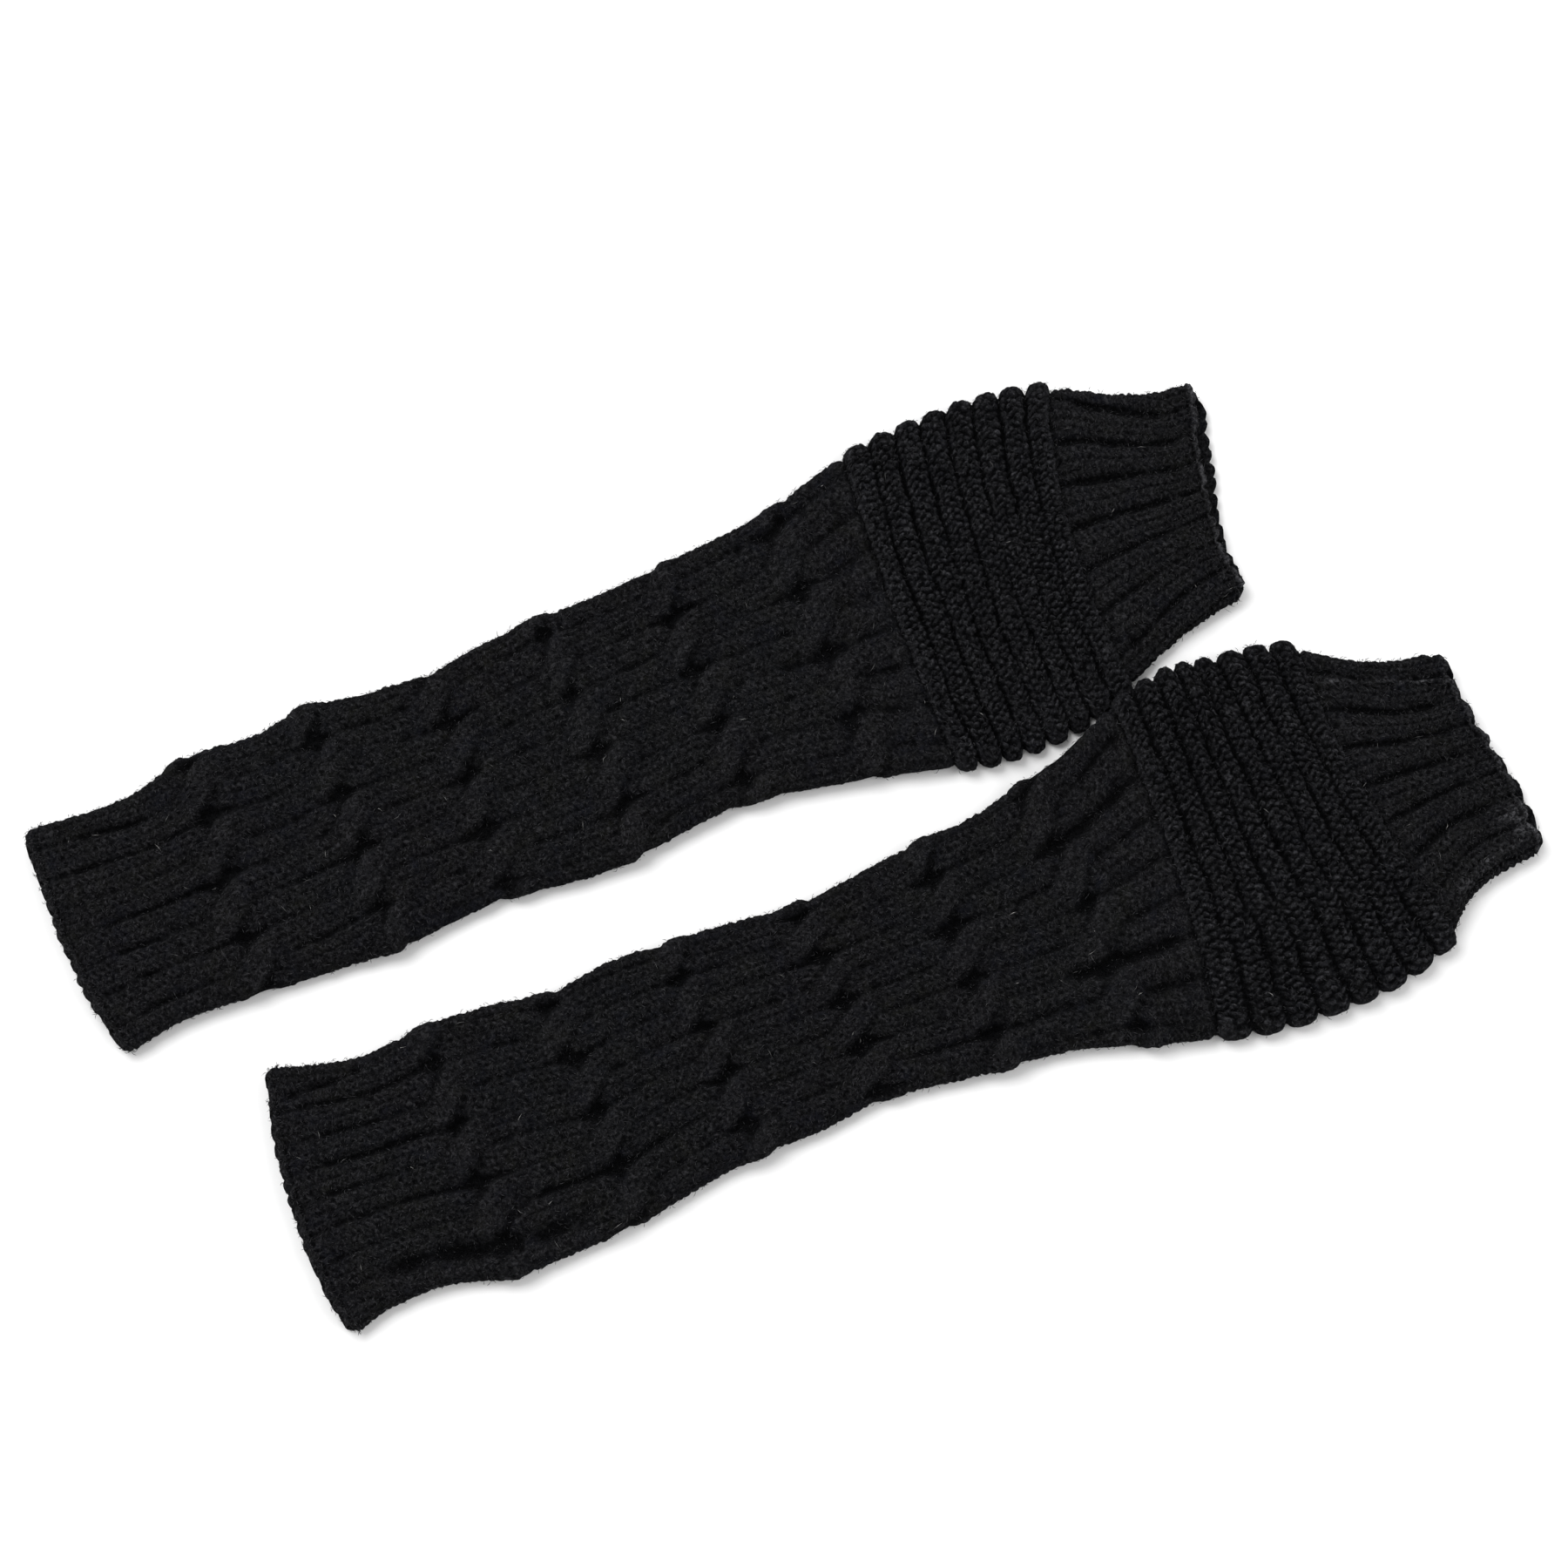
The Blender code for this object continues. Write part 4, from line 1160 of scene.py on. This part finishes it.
# pale marks along a cuff: millimetres from the far fold at its start, middle
# and end, how wide, how high, how pale, and the share they start at
Mark = namedtuple("Mark", "start middle end wide high pale low")
Warmer = namedtuple("Warmer", "side arm band cuff rows arm_turn cuff_turn arm_gutters "
                              "cuff_gutters settle seed recess jog pale "
                              "elbow_bow finger_bow calms grooves teeth marks")
WARMERS = (
    Warmer("far", FAR_ARM, FAR_BAND, FAR_CUFF, FAR_ROWS, FAR_TURN, FAR_CUFF_TURN,
           FAR_GUTTERS, FAR_CUFF_GUTTERS, press_far, 11,
           ((0.0, 0.06, 0.25, 0.5, 0.75, 0.92, 1.0), (0.4, 1.8, 4.0, 3.4, 1.8, 1.0, 0.2)), None, 0.8,
           ((0.0, 0.3, 0.6, 1.0), (-0.4, 0.3, 0.6, -0.6)),
           ((0.0, 0.1, 0.25, 0.45, 0.6, 0.8, 1.0), (0.0, 1.8, 1.6, 0.0, -1.6, -3.2, -0.4)),
           FAR_CALMS, FAR_GROOVES, 0.35, ()),
    Warmer("near", NEAR_ARM, NEAR_BAND, NEAR_CUFF, NEAR_ROWS, NEAR_TURN, NEAR_CUFF_TURN,
           NEAR_GUTTERS, NEAR_CUFF_GUTTERS, lift_near, 41,
           ((0.0, 0.1, 0.4, 0.7, 0.9, 1.0), (0.3, 1.2, 1.4, 2.6, 2.4, 0.4)), (87.5, 87.0), 0.4,
           ((0.0, 0.2, 0.5, 0.7, 1.0), (1.6, 1.3, 0.5, 0.0, 0.2)),
           ((0.0, 0.08, 0.25, 0.4, 0.55, 0.75, 0.9, 1.0),
            (2.2, 2.0, 0.0, -0.2, 0.8, 2.6, 2.8, 2.2)),
           NEAR_CALMS, NEAR_GROOVES, 0.80,
           (Mark(12.1, 9.4, 12.4, 0.75, 1.2, 0.62, 0.02),
            Mark(95.0, 77.0, 66.0, 2.0, 0.2, 0.30, 0.10),
            Mark(70.0, 65.0, 62.0, 5.0, 0.1, 0.75, 0.74))),
)

count = 0
for wm in WARMERS:
    made = (
        (build_arm(wm.side, wm.arm, wm.rows, wm.arm_turn, wm.arm_gutters, wm.settle, wm.seed,
                   wm.elbow_bow),
         "_arm_tube", "cable_knit", 13000),
        (build_band(wm.side, wm.band, wm.settle, wm.seed + 7, wm.calms, wm.grooves, wm.jog),
         "_hand_band", "welt_knit", 3600),
        (build_cuff(wm.side, wm.cuff, wm.cuff_turn, wm.cuff_gutters, wm.settle,
                    wm.seed + 14, wm.recess, wm.pale, wm.finger_bow, wm.teeth, wm.marks),
         "_finger_cuff", "rib_knit", 3300),
    )
    for (obj, lines, tube, outer), node, slot, fibres in made:
        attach(obj, "root")
        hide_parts(wm.side + node)
        around = tube.base()[5][:, 0]
        fuzz = fibre_mesh(obj.name.replace("knit", "fuzz"), [outer], fibres, wm.seed + 100,
                          MAT_FUZZ, edge_share=0.05)
        lint = fibre_mesh(obj.name.replace("knit", "lint"), [outer], max(fibres // 210, 6),
                          wm.seed + 200, MAT_LINT, long=(1.5, 5.0), thick=0.08,
                          lift=(0.3, 0.9))
        for extra in (fuzz, lint):
            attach(extra, "root")
        here = [sum(len(p.vertices) - 2 for p in o.data.polygons) for o in (obj, fuzz, lint)]
        count += sum(here)
        print("TRIANGLES", obj.name, here)
print("TRIANGLES in all", count)

# =====================================================================
# Floor, light and camera
# =====================================================================
floor_mesh = bpy.data.meshes.new("floor")
half = 3.0
floor_mesh.from_pydata([(-half, -half, 0), (half, -half, 0), (half, half, 0), (-half, half, 0)],
                       [], [(0, 1, 2, 3)])
floor = bpy.data.objects.new("floor", floor_mesh)
bpy.context.scene.collection.objects.link(floor)
floor_mat = bpy.data.materials.new("pale_floor")
floor_mat.use_nodes = True
fs = floor_mat.node_tree.nodes["Principled BSDF"]
fs.inputs["Base Color"].default_value = (0.97, 0.97, 0.97, 1)
fs.inputs["Roughness"].default_value = 0.9
fs.inputs["Specular IOR Level"].default_value = 0.1
floor_mesh.materials.append(floor_mat)

world = bpy.data.worlds.new("studio")
bpy.context.scene.world = world
world.use_nodes = True
bg = world.node_tree.nodes["Background"]
bg.inputs["Color"].default_value = (1.0, 1.0, 1.0, 1)
bg.inputs["Strength"].default_value = 0.62
bpy.context.scene.view_settings.view_transform = "Standard"


def area_light(name, place, aim, size, watts):
    data = bpy.data.lights.new(name, "AREA")
    data.shape = "DISK"
    data.size = size
    data.energy = watts
    o = bpy.data.objects.new(name, data)
    o.location = place
    o.rotation_mode = "QUATERNION"
    o.rotation_quaternion = (Vector(aim) - Vector(place)).to_track_quat("-Z", "Y")
    bpy.context.scene.collection.objects.link(o)
    return o


area_light("key", (-0.62, 0.90, 2.0), (0, 0, 0), 1.5, 34.0)
area_light("fill", (1.2, -0.9, 1.9), (0, 0, 0), 1.3, 11.0)

ELEVATION, TURN = math.radians(70.0), math.radians(22.4)
PIXELS, FOCAL_PX, PX_PER_MM = 1800.0, 3830.0, 3.6
right = Vector((math.cos(TURN), -math.sin(TURN), 0.0))
ahead = Vector((math.sin(TURN), math.cos(TURN), 0.0))
look = math.cos(ELEVATION) * ahead - math.sin(ELEVATION) * Vector((0, 0, 1))
up = math.sin(ELEVATION) * ahead + math.cos(ELEVATION) * Vector((0, 0, 1))
target = Vector(((7.5 + CENTRE[0]) * MM, (18.5 + CENTRE[1]) * MM, 0.0))
camera_data = bpy.data.cameras.new("camera")
camera_data.sensor_width = 36.0
camera_data.lens = 36.0 * FOCAL_PX / PIXELS
camera_data.clip_start, camera_data.clip_end = 0.05, 20.0
camera = bpy.data.objects.new("camera", camera_data)
camera.rotation_mode = "QUATERNION"
camera.location = target - look * (FOCAL_PX / PX_PER_MM * MM)
camera.rotation_quaternion = Matrix((right, up, -look)).transposed().to_quaternion()
bpy.context.scene.collection.objects.link(camera)
bpy.context.scene.camera = camera
